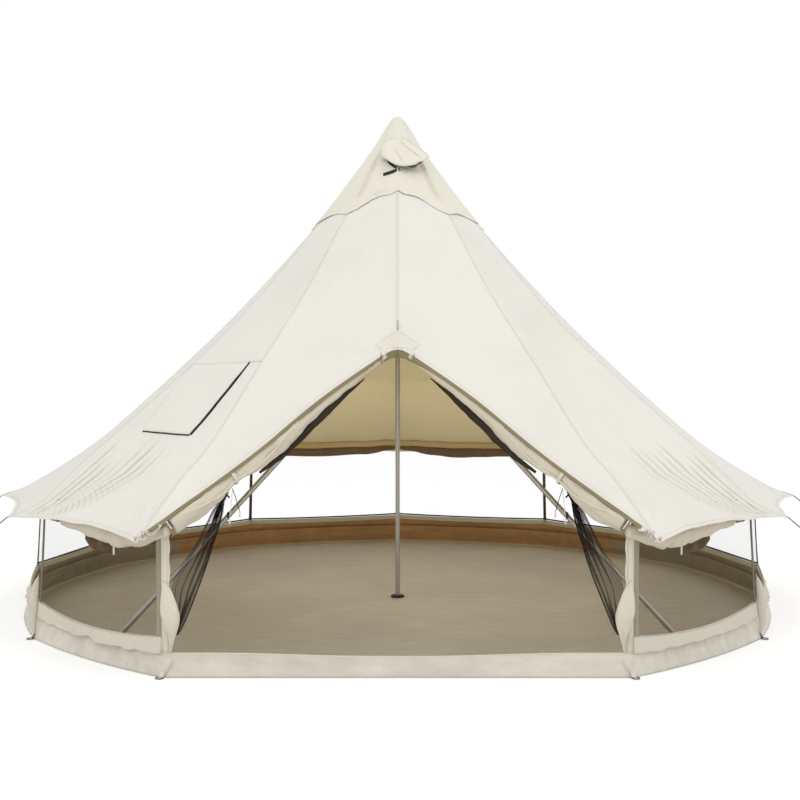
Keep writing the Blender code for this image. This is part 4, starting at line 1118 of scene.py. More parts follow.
@dataclass
class RoofSurface:
    """The roof's taut surface and its real one, read anywhere."""

    columns: tuple = (44, 108, 44, 30, 30, 30)
    upper_rows: int = 26
    lower_rows: int = 56
    shares: list[float] = field(default_factory=list)

    def __post_init__(self) -> None:
        """Lay out the rows, with lines on the edges of the vent and the stove opening."""
        stops = [SPLIT, *self.vent_rows(), *self.jack_rows()]
        even = [SPLIT * k / self.upper_rows for k in range(self.upper_rows + 1)]
        even += [mix(SPLIT, 1.0, k / self.lower_rows) for k in range(1, self.lower_rows + 1)]
        self.shares = self.with_stops(even, stops)

    @staticmethod
    def with_stops(even: Sequence[float], stops: Sequence[float]) -> list[float]:
        """The even shares, with the nearest one moved to each stop.

        Args:
            even: the even shares.
            stops: shares that have to be in the list.

        Returns:
            The shares in order.
        """
        found = list(even)
        for stop in stops:
            nearest = min(range(len(found)), key=lambda k: abs(found[k] - stop))
            found[nearest] = stop
        return sorted(found)

    @staticmethod
    def vent_rows() -> tuple[float, float]:
        """Shares down the middle seam of the vent's top and foot."""
        return PLAN.vent_top / MIDDLE.length * SPLIT, PLAN.vent_bottom / MIDDLE.length * SPLIT

    @staticmethod
    def jack_rows() -> tuple[float, float]:
        """Shares down the stove panel of its opening's top and foot.

        Returns:
            The two shares.
        """
        seam = SEAMS[1, -1]
        top = seam.share_at_height(PLAN.flap_top_height) + PLAN.jack_margin / seam.length
        return top, top + PLAN.jack_length / seam.length

    def panel_columns(self, step: int, side: int) -> list[float]:
        """Shares across a panel at which it has its columns.

        Args:
            step: number of the panel from the door.
            side: +1 on the right, -1 on the left.

        Returns:
            The shares in order.
        """
        even = [k / self.columns[step] for k in range(self.columns[step] + 1)]
        if step == 0:
            return self.with_stops(even, [PLAN.vent_spread])
        if step == 1 and side < 0:
            return self.with_stops(even, [PLAN.jack_door_side, PLAN.jack_seam_side])
        return even

    @staticmethod
    def taut(step: int, side: int, share: float, across: float) -> Vector:
        """Point on the taut surface.

        Args:
            step: number of the panel from the door.
            side: +1 on the right, -1 on the left.
            share: share down the panel.
            across: share across the panel.

        Returns:
            The point.
        """
        if step == 0:
            if share <= SPLIT:
                near = MIDDLE.at(share / SPLIT)
            else:
                near = HEMS[side].at((share - SPLIT) / (1.0 - SPLIT))
            return near.lerp(SEAMS[1, side].at(share), across)
        near, far = SEAMS[step, side], SEAMS[step + 1, side]
        level = share * (1.0 - PLAN.scallop / near.length * 4.0 * across * (1.0 - across))
        return near.at(level).lerp(far.at(level), across)

    def normal(self, step: int, side: int, share: float, across: float) -> Vector:
        """Outward direction square to the taut surface.

        Args:
            step: number of the panel from the door.
            side: +1 on the right, -1 on the left.
            share: share down the panel.
            across: share across the panel.

        Returns:
            The unit direction.
        """
        d = 0.006
        high, low = max(share - d, 0.0), min(share + d, 1.0)
        near, far = max(across - d, 0.0), min(across + d, 1.0)
        down = self.taut(step, side, low, across) - self.taut(step, side, high, across)
        over = self.taut(step, side, share, far) - self.taut(step, side, share, near)
        return outwards(down.cross(over).normalized(), self.taut(step, side, share, across))

    def real(self, step: int, side: int, share: float, across: float, lift: float = 0.0) -> Vector:
        """Point on the real outer face, lifted off it.

        Args:
            step: number of the panel from the door.
            side: +1 on the right, -1 on the left.
            share: share down the panel.
            across: share across the panel.
            lift: distance off the face.

        Returns:
            The point.
        """
        point = self.taut(step, side, share, across)
        height = relief(point, step, side, across, share) + lift
        return point + self.normal(step, side, share, across) * height

    def half(self, side: int) -> tuple[Grid, list[tuple[int, float]]]:
        """Real outer face of one half, from the door to the back.

        Args:
            side: +1 on the right, -1 on the left.

        Returns:
            The grid, and the (panel, share across) of each column.
        """
        marks = []
        for step in range(6):
            marks += [(step, across) for across in self.panel_columns(step, side)[(0 if step == 0 else 1):]]
        grid = [[self.taut(step, side, share, across) for step, across in marks] for share in self.shares]
        rows, columns = len(grid), len(marks)
        real = []
        for i, share in enumerate(self.shares):
            line = []
            for j, (step, across) in enumerate(marks):
                point = grid[i][j]
                down = grid[min(i + 1, rows - 1)][j] - grid[max(i - 1, 0)][j]
                over = grid[i][min(j + 1, columns - 1)] - grid[i][max(j - 1, 0)]
                if j in (0, columns - 1) and (j or share <= SPLIT):
                    over = Vector((1.0, 0.0, 0.0))
                    down = Vector((0.0, down.y, down.z))
                out = outwards(down.cross(over).normalized(), point)
                line.append(point + out * relief(point, step, side, across, share))
            real.append(line)
        return real, marks


ROOF = RoofSurface()


@dataclass
class RoofCanvas:
    """One continuous sheet of twelve sewn panels, with its seams, hems and tips."""

    seam_half: float = 0.008
    seam_rise: float = 0.0012
    hem_depth: float = 0.026
    door_hem_depth: float = 0.034
    stitch_step: float = 0.009
    stitch_in: float = 0.0048
    seam_stitch_rise: float = 0.0016
    hem_stitch_rise: float = 0.0013

    def build(self) -> None:
        """Build the sheet and all that is sewn to it."""
        self.halves = {side: ROOF.half(side) for side in (1, -1)}
        self.sheet()
        self.seams()
        self.eave_hem()
        self.door_hem()
        self.stitches()

    @staticmethod
    def offset_line(edge: list[Vector], inner: list[Vector], depth: float, rise: float) -> list[Vector]:
        """Line beside an edge of the canvas, just off its outer face.

        Args:
            edge: points along the edge.
            inner: a point beside each of them.
            depth: distance from the edge.
            rise: distance off the face.

        Returns:
            The line's points.
        """
        line = []
        for k, (point, other) in enumerate(zip(edge, inner)):
            way = edge[min(k + 1, len(edge) - 1)] - edge[max(k - 1, 0)]
            if way.length < CLOSE or (other - point).length < CLOSE:
                continue
            way.normalize()
            arm = square(other - point, way)
            line.append(point + arm * depth + outwards(way.cross(arm).normalized(), point, 0.3) * rise)
        return line

    def stitches(self) -> None:
        """Double rows of stitches on the seams, and a row on every hem."""
        seams, hems = [], []
        for grid, marks in self.halves.values():
            lines = [[row[j] for row in grid] for j in range(len(marks))]
            for j, (step, across) in enumerate(marks):
                if across == 1.0 and step < 5:
                    for other in (j - 1, j + 1):
                        seams.append(self.offset_line(lines[j], lines[other], self.stitch_in,
                                                      self.seam_stitch_rise))
            split = self.door_row()
            first = next(i for i, share in enumerate(ROOF.shares)
                         if MIDDLE.length * share / SPLIT > PLAN.vent_bottom + 0.02)
            middle, beside = lines[0][first:split + 1], lines[1][first:split + 1]
            seams.append(self.offset_line(middle, beside, self.stitch_in, self.seam_stitch_rise))
            hems.append(self.offset_line(grid[-1], grid[-2], self.hem_depth - 0.005, self.hem_stitch_rise))
            hems.append(self.offset_line(lines[0][split:], lines[1][split:], self.door_hem_depth - 0.005,
                                         self.hem_stitch_rise))
        stitched("roof_seam_stitches", seams, "tent", self.stitch_step * 1.2)
        stitched("roof_hem_stitches", hems, "tent", self.stitch_step)

    @staticmethod
    def door_row() -> int:
        """Number of the row at the top of the door."""
        return ROOF.shares.index(SPLIT)

    def sheet(self) -> None:
        """The canvas itself, with openings for the vent and the stove pipe."""
        vertices, faces, uv, folds = [], [], [], []
        for side, (grid, marks) in self.halves.items():
            first, columns = len(vertices), len(marks)
            rows = len(grid)
            down = 0.0
            for i, row in enumerate(grid):
                if i:
                    down += (row[columns // 2] - grid[i - 1][columns // 2]).length
                over = 0.0
                for j, point in enumerate(row):
                    if j:
                        over += (point - row[j - 1]).length
                    vertices.append(point)
                    uv.append((over * side, down))
                    # Wrinkle depth of each point, for the painted shade in the folds.
                    folds.append(fold_lines(marks[j][0], side, marks[j][1], ROOF.shares[i]))
            for i in range(rows - 1):
                for j in range(columns - 1):
                    step, across = marks[j] if marks[j][1] < 1 else (marks[j + 1][0], 0.0)
                    if self.is_open(side, i, step, across, marks[j + 1][1]):
                        continue
                    near, far = first + i * columns + j, first + (i + 1) * columns + j
                    cell = (near, far, far + 1, near + 1)
                    faces.append(cell if side > 0 else cell[::-1])
        # The inner face takes the painted shade of the canvas's inside.
        sheet = piece("roof_canvas", vertices, faces, [Finish.ROOF, Finish.ROOF_INSIDE_SHADE, Finish.SEAM], uv)
        # Painted shade in the stove panel's wrinkles.
        paint_fold_shade(sheet, folds)
        bm = bmesh.new()
        bm.from_mesh(sheet.data)
        near = [v for v in bm.verts if abs(v.co.x) < 1e-5]
        bmesh.ops.remove_doubles(bm, verts=near, dist=2e-5)
        bm.to_mesh(sheet.data)
        bm.free()
        thicken(sheet, PLAN.canvas, 1, 2)
        settle(sheet, "tent", "canvas", *(f"roof_panel_{n:02d}" for n in range(1, 13)))
        self.sheet_object = sheet

    def is_open(self, side: int, row: int, step: int, low: float, high: float) -> bool:
        """Whether a cell of the grid lies in an opening.

        Args:
            side: +1 on the right, -1 on the left.
            row: number of the cell's row.
            step: number of its panel from the door.
            low: share across at its near edge.
            high: share across at its far edge.

        Returns:
            True where the cell is left out.
        """
        if step == 0:
            edges, within = ROOF.vent_rows(), high < PLAN.vent_spread + CLOSE
        elif step == 1 and side < 0:
            edges = ROOF.jack_rows()
            within = low > PLAN.jack_door_side - CLOSE and high < PLAN.jack_seam_side + CLOSE
        else:
            return False
        return ROOF.shares[row] > edges[0] - CLOSE and ROOF.shares[row + 1] < edges[1] + CLOSE and within

    def seams(self) -> None:
        """Felled seams along every joint of two panels."""
        parts = []
        for side, (grid, marks) in self.halves.items():
            stops = [j for j, (_, across) in enumerate(marks) if across == 1.0]
            for j in stops if side > 0 else stops[:-1]:
                beside = [row[j + 1] if j < len(marks) - 1 else mirrored(row[j - 1], -1) for row in grid]
                parts.append(self.felled([row[j] for row in grid], [row[j - 1] for row in grid], beside))
        right, left = (self.halves[side][0][:self.door_row() + 1] for side in (1, -1))
        parts.append(self.felled([row[0] for row in right], [row[1] for row in left],
                                 [row[1] for row in right], skip=PLAN.vent_bottom + 0.01))
        settle(joined("roof_seams", parts), "tent", "canvas")

    def felled(self, centres: list[Vector], lefts: list[Vector], rights: list[Vector],
               skip: float = 0.0) -> bpy.types.Object:
        """One flat seam that bends with the two panels beside it.

        Args:
            centres: points down the seam.
            lefts: a point on one side of each.
            rights: a point on the other side of each.
            skip: length left bare at the start.

        Returns:
            The new object.
        """
        rings, gone = [], 0.0
        for k, (centre, left, right) in enumerate(zip(centres, lefts, rights)):
            if k:
                gone += (centre - centres[k - 1]).length
            if gone < skip or (left - right).length < 1e-5:
                continue
            way = way_at(centres, k)
            arms = [square(other - centre, way) for other in (left, right)]
            out = [outwards(way.cross(arms[0]).normalized(), centre),
                   outwards(arms[1].cross(way).normalized(), centre)]
            top = (out[0] + out[1]).normalized()
            half, rise, deep = self.seam_half, self.seam_rise, self.seam_rise + PLAN.canvas
            upper = [[centre + arm * half + off * rise * 0.2, centre + arm * half * 0.85 + off * rise]
                     for arm, off in zip(arms, out)]
            lower = [centre + arm * half * 0.85 - off * deep for arm, off in zip(arms, out)]
            rings.append([*upper[0], centre + top * rise, *upper[1][::-1],
                          lower[1], centre - top * deep, lower[0]])
        return swept("felled_seam", rings, [Finish.SEAM])

    def edge_band(self, name: str, edge: list[Vector], inner: list[Vector], depth: float,
                  finish: Finish = Finish.HEM) -> bpy.types.Object:
        """Folded hem along an edge of the canvas.

        Args:
            name: the piece's name.
            edge: points on the outer face along the edge.
            inner: points on the outer face further in, one for each.
            depth: how far the hem is folded in.
            finish: its finish.

        Returns:
            The new object.
        """
        rings = []
        rise = self.seam_rise * 0.8
        for k, (point, other) in enumerate(zip(edge, inner)):
            way = way_at(edge, k)
            arm = square(other - point, way)
            out = outwards(way.cross(arm).normalized(), point, 0.3)
            low, deep = -0.0015, -PLAN.canvas - rise
            rings.append([point + arm * over + out * up for over, up in (
                (low * 0.6, rise * 0.3), (0.002, rise), (depth - 0.002, rise), (depth, 0.0),
                (depth, -PLAN.canvas), (depth - 0.002, deep), (0.002, deep), (low, (deep - rise) / 2))])
        return swept(name, rings, [finish])

    def eave_hem(self) -> None:
        """Hem round the scalloped eave."""
        parts = [self.edge_band("eave", grid[-1], grid[-2], self.hem_depth)
                 for grid, _ in self.halves.values()]
        settle(joined("eave_hem", parts), "tent", "canvas")

    def door_hem(self) -> None:
        """Hem along the door's edge."""
        parts = []
        for grid, _ in self.halves.values():
            rows = grid[self.door_row():]
            parts.append(self.edge_band("door", [row[0] for row in rows], [row[1] for row in rows],
                                        self.door_hem_depth))
        settle(joined("door_hem", parts), "tent", "canvas")


def stitched(name: str, lines: Sequence[Sequence[Vector]], body: str, step: float) -> bpy.types.Object:
    """Rows of stitches along lines, set out and made by a node tree.

    Args:
        name: the piece's name.
        lines: the rows' lines.
        body: the body that they ride on.
        step: distance from stitch to stitch.

    Returns:
        The new object.
    """
    points, edges = [], []
    for line in lines:
        first = len(points)
        points += [tuple(point) for point in line]
        edges += [(first + k, first + k + 1) for k in range(len(line) - 1)]
    mesh = bpy.data.meshes.new(name)
    mesh.from_pydata(points, edges, [])
    obj = bpy.data.objects.new(name, mesh)
    bpy.context.scene.collection.objects.link(obj)
    sizes = {"Stitch Step": step, "Stitch Length": step * 0.62, "Thread Radius": 0.0005}
    tree = NodeRecipe("stitches_" + name, sizes, Finish.THREAD)
    curve = tree.add("MeshToCurve", Mesh=tree.given("Geometry"))
    even = tree.add("ResampleCurve", {"mode": "LENGTH"}, Curve=curve.outputs[0],
                    Length=tree.given("Stitch Step"))
    way = tree.add("InputTangent")
    turn = tree.add("FunctionNodeAlignRotationToVector", {"axis": "Z"}, Vector=way.outputs[0])
    thread = tree.add("MeshCylinder", {"fill_type": "NONE"}, Vertices=4, Radius=tree.given("Thread Radius"),
                      Depth=tree.given("Stitch Length"))
    placed = tree.add("InstanceOnPoints", Points=even.outputs[0], Instance=thread.outputs[0],
                      Rotation=turn.outputs[0])
    tree.finish(placed.outputs[0], obj, sizes)
    return settle(baked(obj), body, "canvas")


@dataclass
class Studio:
    """Pale floor, soft light and the camera of the photograph."""

    lens: float = 63.2
    camera_place: tuple = (0.0, -8.771, 1.750)
    pitch: float = 3.29
    shift: float = 0.003
    world_strength: float = 0.78
    floor_glow: float = 0.32
    floor_radius: float = 40.0
    lamps: tuple = (("soft_front", (-3.5, -8.0, 7.5), (0.0, 0.0, 1.2), 7.0, 215.0),
                    ("soft_right", (6.5, -3.0, 6.0), (0.0, 0.0, 1.2), 6.0, 90.0),
                    ("glow_up", (0.0, 0.1, 0.25), (0.0, 0.1, 2.0), 3.4, 24.5),
                    ("glow_down", (0.0, 0.1, 1.3), (0.0, 0.1, 0.0), 2.8, 15.0))

    def build(self) -> None:
        """Add the camera, the lights and the floor."""
        scene = bpy.context.scene
        camera = bpy.data.objects.new("photo_camera", bpy.data.cameras.new("photo_camera"))
        camera.data.lens = self.lens
        camera.data.sensor_width = 36.0
        camera.data.shift_x = self.shift
        camera.location = self.camera_place
        camera.rotation_euler = (math.radians(90.0 - self.pitch), 0.0, 0.0)
        scene.collection.objects.link(camera)
        scene.camera = camera
        scene.view_settings.view_transform = "Standard"
        self.world()
        self.floor()
        for name, place, aim, size, power in self.lamps:
            light = bpy.data.lights.new(name, "AREA")
            light.shape = "DISK"
            light.size = size
            light.energy = power
            lamp = bpy.data.objects.new(name, light)
            lamp.location = place
            lamp.rotation_euler = (Vector(aim) - Vector(place)).to_track_quat("-Z", "Y").to_euler()
            lamp.visible_camera = False
            lamp.visible_glossy = False
            scene.collection.objects.link(lamp)

    def world(self) -> None:
        """Even light from all sides, white to the camera."""
        world = bpy.data.worlds.new("soft_daylight")
        bpy.context.scene.world = world
        world.use_nodes = True
        world.node_tree.nodes.clear()
        kit = Nodes(world.node_tree)
        level = kit.add("MapRange", None, Value=kit.seen_white(), To_Min=self.world_strength, To_Max=1.0)
        light = kit.add("Background", None, Color=(1.0, 1.0, 1.0, 1.0), Strength=level.outputs[0])
        kit.add("OutputWorld", None, Surface=light.outputs[0])

    def floor(self) -> None:
        """Pale floor that keeps the tent's shadow."""
        kit = Kit("studio_floor")
        glow = kit.math("MULTIPLY", kit.seen_white(), self.floor_glow)
        kit.look(Base_Color=(0.86, 0.86, 0.86, 1.0), Roughness=0.9, Emission_Color=(1.0, 1.0, 1.0, 1.0),
                 Emission_Strength=glow)
        sides = 64
        turns = [2 * math.pi * k / sides for k in range(sides)]
        rim = [(self.floor_radius * math.cos(t), self.floor_radius * math.sin(t), -0.002) for t in turns]
        mesh = bpy.data.meshes.new("studio_floor")
        mesh.from_pydata(rim, [], [tuple(range(sides))])
        mesh.materials.append(kit.material)
        floor = bpy.data.objects.new("studio_floor", mesh)
        bpy.context.scene.collection.objects.link(floor)


class Skin:
    """The real roof as a search surface, for what hangs under it or lies on it."""

    def __init__(self, sheet: bpy.types.Object) -> None:
        """Read the sheet's own faces.

        Args:
            sheet: the roof's outer face.
        """
        points = [v.co.copy() for v in sheet.data.vertices]
        self.tree = BVHTree.FromPolygons(points, [tuple(p.vertices) for p in sheet.data.polygons])

    def underside(self, x: float, y: float) -> float:
        """Height of the roof's lower face above a place in plan.

        Args:
            x: place across.
            y: place in depth.

        Returns:
            The height.
        """
        for nudge in (0.0, 0.0009, -0.0009, 0.003, -0.01, -0.03):
            place, normal, _, _ = self.tree.ray_cast(Vector((x, y, 0.3)) * (1.0 + nudge), UP)
            if place is not None:
                return place.z - PLAN.canvas / max(abs(normal.z), 0.3)
        return PLAN.wall_lean_top

    def under(self, point: Vector, clear: float = 0.003) -> Vector:
        """The point, lowered where it would reach into the roof."""
        top = self.underside(point.x, point.y) - clear
        return Vector((point.x, point.y, min(point.z, top)))

    def in_front(self, x: float, z: float, lift: float) -> Vector:
        """Point on the roof's front straight behind a place seen from the door."""
        place, normal, _, _ = self.tree.ray_cast(Vector((x, -5.0, z)), -FRONT)
        return place + (-normal if normal.y > 0 else normal) * lift

    def pushed(self, centre: Vector, clear: float) -> Vector:
        """The point moved to a distance under the roof's outer face."""
        nearest = self.tree.find_nearest(centre)[0]
        return nearest + (centre - nearest).normalized() * clear


def cap_place(angle: float, distance: float, lift: float) -> Vector:
    """Point over the real roof at a distance below its start.

    Args:
        angle: plan angle from -180 to 180.
        distance: along the cloth from the roof's start.
        lift: off the roof's outer face.

    Returns:
        The point.
    """
    side = 1 if angle >= 0 else -1
    away = min(abs(angle), 180.0)
    step = min(int(away // PLAN.step), 5)
    across = away / PLAN.step - step
    if step == 0:
        share = mix(distance / MIDDLE.length * SPLIT, distance / SEAMS[1, side].length, across)
    else:
        share = distance / mix(SEAMS[step, side].length, SEAMS[step + 1, side].length, across)
    return ROOF.real(step, side, share, across, lift)


@dataclass
class ApexCap:
    """Second layer over the apex with a rounded top, sewn seams and a scalloped hem."""

    lift: float = 0.0040
    hem_drops: tuple = ((0.0, 0.678), (2.5, 0.694), (5.0, 0.704), (12.0, 0.701), (16.6, 0.722), (20.4, 0.754),
                        (25.3, 0.796), (30.0, 0.828))
    start: float = 0.02
    scallop: float = 0.024
    dome: tuple = ((0.012, 2.9985), (0.022, 2.9945), (0.031, 2.9875), (0.0425, 2.9750), (0.051, 2.9645))
    rise: float = 0.016
    columns: int = 144
    rows: int = 34
    seam_half: float = 0.007
    seam_rise: float = 0.001
    hem_depth: float = 0.026

    def drop(self, angle: float) -> float:
        """Distance from the roof's start to the hem.

        Args:
            angle: plan angle.

        Returns:
            The distance down the roof.
        """
        away = abs(angle)
        for (near, first), (far, last) in zip(self.hem_drops, self.hem_drops[1:]):
            if away <= far:
                return mix(first, last, ease(away, near, far))
        return self.hem_drops[-1][1] - self.scallop * abs(math.sin(math.radians(away * 180 / PLAN.step)))

    def place(self, angle: float, share: float) -> Vector:
        """Point on the cap's outer face at a share of the way to its hem.

        Args:
            angle: plan angle.
            share: share of the way down.

        Returns:
            The point.
        """
        distance = mix(self.start, self.drop(angle), share)
        around = direction(angle)
        flare = 0.004 * ease(share, 0.86, 1.0) * (1.0 + 0.5 * math.sin(math.radians(angle * 12.0)))
        pucker = 0.0015 * noise.noise(around * 9.0 + UP * (share * 7.0)) * ease(share, 0.1, 0.4)
        near_top = math.exp(-distance / 0.16) * ease(distance, 0.02, 0.06)
        pucker += 0.0040 * noise.noise(around * 3.2 + UP * (distance * 9.0)) * near_top
        away, along = abs(angle), ease(distance, 0.30, 0.38) * (1.0 - ease(distance, 0.66, 0.74))
        pucker += along * (0.0070 * hump(away, 30.0, 2.6) - 0.0040 * hump(away, 26.5, 1.8))
        over_pole = self.rise * (1.0 - ease(distance, 0.02, 0.25))
        return cap_place(angle, distance, self.lift + over_pole + flare + pucker)

    def crease(self, angle: float, share: float) -> float:
        """How much painted shade a point takes in the two long folds beside the vent or the pucker over the
        hem.

        Args:
            angle: plan angle.
            share: share of the way down.

        Returns:
            The depth from 0 to 1.
        """
        distance = mix(self.start, self.drop(angle), share)
        along = ease(distance, 0.30, 0.40) * (1.0 - ease(distance, 0.64, 0.74))
        long = along * hump(abs(angle), 27.0, 1.5)
        near_hem = hump(share, 0.935, 0.012) * max(noise.noise(direction(angle) * 7.0), 0.0) * 1.4
        return max(0.60 * long, 0.6 * near_hem)

    def angles(self) -> list[float]:
        """Plan angles of the columns, with lines on the vent's edges.

        Returns:
            The angles in order.
        """
        found = [-180.0 + 360.0 * k / self.columns for k in range(self.columns)]
        edge = PLAN.vent_spread * PLAN.step
        return [math.copysign(edge, a) if abs(abs(a) - edge) < 1.01 else a for a in found]

    def build(self) -> None:
        """Build the cap, its seams and hem, and the vent's net."""
        angles = self.angles()
        grid = [[Vector((0.0, 0.0, 3.0))] * len(angles)]
        grid += [[polar(a, r, z) for a in angles] for r, z in self.dome]
        stops = [(distance - self.start) / (self.hem_drops[0][1] - self.start)
                 for distance in (PLAN.vent_top - 0.003, PLAN.vent_bottom + 0.003)]
        shares = ROOF.with_stops([k / self.rows for k in range(self.rows + 1)], stops)
        grid += [[self.place(a, share) for a in angles] for share in shares]
        first = len(self.dome) + 1
        top, foot = (first + shares.index(stop) for stop in stops)
        edge = PLAN.vent_spread * PLAN.step
        gone = {(i, j) for i in range(top, foot)
                for j, angle in enumerate(angles) if -edge - 0.01 < angle < edge - 0.01}
        # The inner face takes the painted shade of the canvas's inside.
        cap = grid_piece("apex_cap_cloth", grid, [Finish.CAP, Finish.ROOF_INSIDE_SHADE], gone, True)
        # No painted shade on the dome, painted shade in the folds below it.
        flat = [0.0] * (first * len(angles))
        paint_fold_shade(cap, flat + [self.crease(a, share) for share in shares for a in angles])
        face_out(cap, 1e-5)
        thicken(cap, 0.002, 1)
        settle(cap, "tent", "canvas", "apex_cap")
        self.trim(angles, grid[first:])
        self.net()

    def trim(self, angles: list[float], rows: Grid) -> None:
        """Seams down the cap and the hem round it.

        Args:
            angles: plan angles of the columns.
            rows: the rows below the dome.
        """
        maker = RoofCanvas(seam_half=self.seam_half, seam_rise=self.seam_rise)
        count = len(angles)
        parts = []
        for k in (*range(-5, 0), *range(1, 7)):
            j = 0 if k == 6 else min(range(count), key=lambda m: abs(angles[m] - k * PLAN.step))
            parts.append(maker.felled([row[j] for row in rows], [row[j - 1] for row in rows],
                                      [row[(j + 1) % count] for row in rows]))
        edge, inner = ([rows[i][j % count] for j in range(count + 1)] for i in (-1, -3))
        parts.append(maker.edge_band("cap_hem", edge, inner, self.hem_depth))
        settle(joined("cap_trim", parts), "tent", "canvas")

    def net(self) -> None:
        """Net across the vent."""
        grid = []
        for distance in (PLAN.vent_top - 0.002, 0.247, 0.275, 0.303, PLAN.vent_bottom + 0.002):
            share = distance / MIDDLE.length * SPLIT
            grid.append([ROOF.real(0, 1 if m >= 0 else -1, share, abs(m) / 8 * PLAN.vent_spread, -0.0012)
                         for m in range(-8, 9)])
        net = grid_piece("vent_net_cloth", grid, [Finish.NET_ROLL])
        thicken(net, 0.0006)
        settle(net, "tent", "net", "vent_net")


@dataclass
class VentHood:
    """Floppy hood over the vent, sunk on its left and lifted on its right, with a welt and straps."""

    top: float = 0.17
    length: float = 0.31
    top_half: float = 0.035
    half: float = 0.145
    slump: float = 0.042
    sink: float = 0.035
    lift: float = 0.0108
    open_deg: float = 11.0
    rows: int = 22
    columns: int = 28

    def axes(self) -> tuple[Vector, Vector, Vector, Vector]:
        """Hinge point, and directions across, down the cap and off it.

        Returns:
            The point and the three unit directions.
        """
        start = polar(0, PLAN.apex_radius, PLAN.roof_top)
        down = (polar(0, PLAN.frame_reach, PLAN.frame_top) - start).normalized()
        across = Vector((1.0, 0.0, 0.0))
        off = across.cross(down).normalized()
        if off.y > 0:
            off = -off
        return start + down * self.top + off * self.lift, across, down, off

    def place(self, over: float, share: float, lift: float = 0.0) -> Vector:
        """Point on the hood, from -1 to 1 across and 0 to 1 down.

        Args:
            over: place across.
            share: share of the way down.
            lift: distance off it.

        Returns:
            The point.
        """
        hinge, across, down, off = self.axes()
        half = mix(self.top_half, self.half, share ** 0.8)
        crease = 0.004 * noise.noise(Vector((over * 2.2, share * 3.0, 4.7))) * ease(share, 0.05, 0.5)
        ridge = 0.010 * hump(over, 0.05 + 0.55 * share, 0.11) * ease(share, 0.05, 0.35)
        gap = 0.009 * hump(over, -0.72, 0.18) * share * share
        drop = 0.014 * (max(over, 0.0) * share) ** 2 - self.sink * share ** 4.5 + crease + ridge + gap + lift
        short = 0.28 if over > 0 else 0.45
        reach = self.length * share * (1 - short * over * over)
        point = hinge + across * (half * over + self.slump * share * share) + down * reach + off * drop
        turn = Quaternion(across, math.radians(self.open_deg))
        if (turn @ Vector((0.0, 0.0, -1.0))).y > 0:
            turn = turn.inverted()
        return hinge + turn @ (point - hinge)

    @staticmethod
    def crease(over: float, share: float) -> float:
        """How much painted shade a point takes in the hood's long crease and in the short ones at its left.

        Args:
            over: place across.
            share: share of the way down.

        Returns:
            The depth from 0 to 1.
        """
        long = hump(over, 0.24 + 0.52 * share, 0.055) * ease(share, 0.06, 0.2)
        long *= 1.0 - ease(share, 0.78, 0.96)
        short = hump(over, 0.50 * share - 0.50, 0.06) * ease(share, 0.45, 0.6)
        short *= 1.0 - ease(share, 0.86, 0.98)
        return 0.9 * long + 0.5 * short

    def build(self) -> None:
        """Build the hood, its welt, the painted shade under its lip and its strut."""
        spots = [[(2 * j / self.columns - 1, i / self.rows) for j in range(self.columns + 1)]
                 for i in range(self.rows + 1)]
        hood = grid_piece("vent_hood_cloth", [[self.place(*spot) for spot in row] for row in spots],
                          [Finish.CAP, Finish.NET_ROLL])
        # Painted shade in the hood's creases.
        paint_fold_shade(hood, [self.crease(*spot) for row in spots for spot in row])
        face_up(hood, Vector((0.0, -1.0, 1.0)))
        thicken(hood, PLAN.canvas, 1)
        settle(hood, "vent_hood", "canvas", "vent_hood")
        lip = [self.place(2 * k / 40 - 1, 1.0, -0.001) for k in range(41)]
        welt = [tube("welt", lip, 0.0042, Finish.CREAM_WEB, 8)]
        for way in (-1, 1):
            side = [self.place(way, k / 14, -0.001) for k in range(15)]
            welt.append(tube("welt", side, 0.0034, Finish.CREAM_WEB, 8))
        settle(joined("vent_hood_welt", welt), "vent_hood", "canvas")
        self.lip_shade()
        low, high = (Vector(corner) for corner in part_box("vent_strut"))
        pivot, foot = Vector((0.0, low.y + 0.014, high.z - 0.018)), Vector((0.0, high.y, low.z))
        run = [pivot.lerp(foot, k / 8) for k in range(9)]
        strut = strap("vent_strut_web", run, [Vector((0.0, -0.6, -0.8))] * 9, 0.0135, 0.0028,
                      Finish.BLACK_WEB)
        settle(strut, "vent_strut", "webbing", "vent_strut")
        self.straps()

    def lip_shade(self) -> None:
        """Dark sheet that hangs below the hood's lip on its right: painted shade of the gap under the hood.
        """
        _, _, down, off = self.axes()
        band = []
        for m in range(5):
            row = []
            for k in range(33):
                deep = 0.034 * math.sin(math.pi * (k / 32) ** 0.8) * m / 4
                row.append(self.place(mix(0.02, 0.97, k / 32), 0.985, -0.003)
                           - off * deep - down * 0.010 * m / 4)
            band.append(row)
        # Dark sheet standing in for the shade under the lip.
        lip_shade = grid_piece("vent_hood_lip_shade", band, [Finish.STRIP_SHADE])
        thicken(lip_shade, 0.0018, offset=0.0)
        settle(lip_shade, "vent_hood", "webbing")

    def straps(self) -> None:
        """Two straps and a buckle that lie on the cap below the hood."""
        parts = []
        off = Vector((0.0, -0.67, 0.74))
        for ends, width in ((((-13.5, 0.505), (-4.0, 0.492), (2.0, 0.474)), 0.028),
                            (((-11.0, 0.385), (-6.0, 0.425), (-1.0, 0.462)), 0.019)):
            run = smooth([cap_place(angle, distance, 0.0075) for angle, distance in ends], 8)
            parts.append(strap("strap", run, [off] * len(run), width, 0.0022, Finish.BLACK_WEB))
        buckle = cap_place(2.6, 0.478, 0.010)
        parts.append(ring_of("buckle", buckle, off, 0.0085, 0.0022, Finish.TOGGLE, 20, 0.7))
        settle(joined("vent_straps", parts), "tent", "webbing")


def face_up(obj: bpy.types.Object, way: Vector) -> bpy.types.Object:
    """Turn an open sheet's faces so that most look along a direction.

    Args:
        obj: the sheet.
        way: the direction.

    Returns:
        The same object.
    """
    if sum(p.normal.dot(way) * p.area for p in obj.data.polygons) < 0:
        obj.data.flip_normals()
    return obj


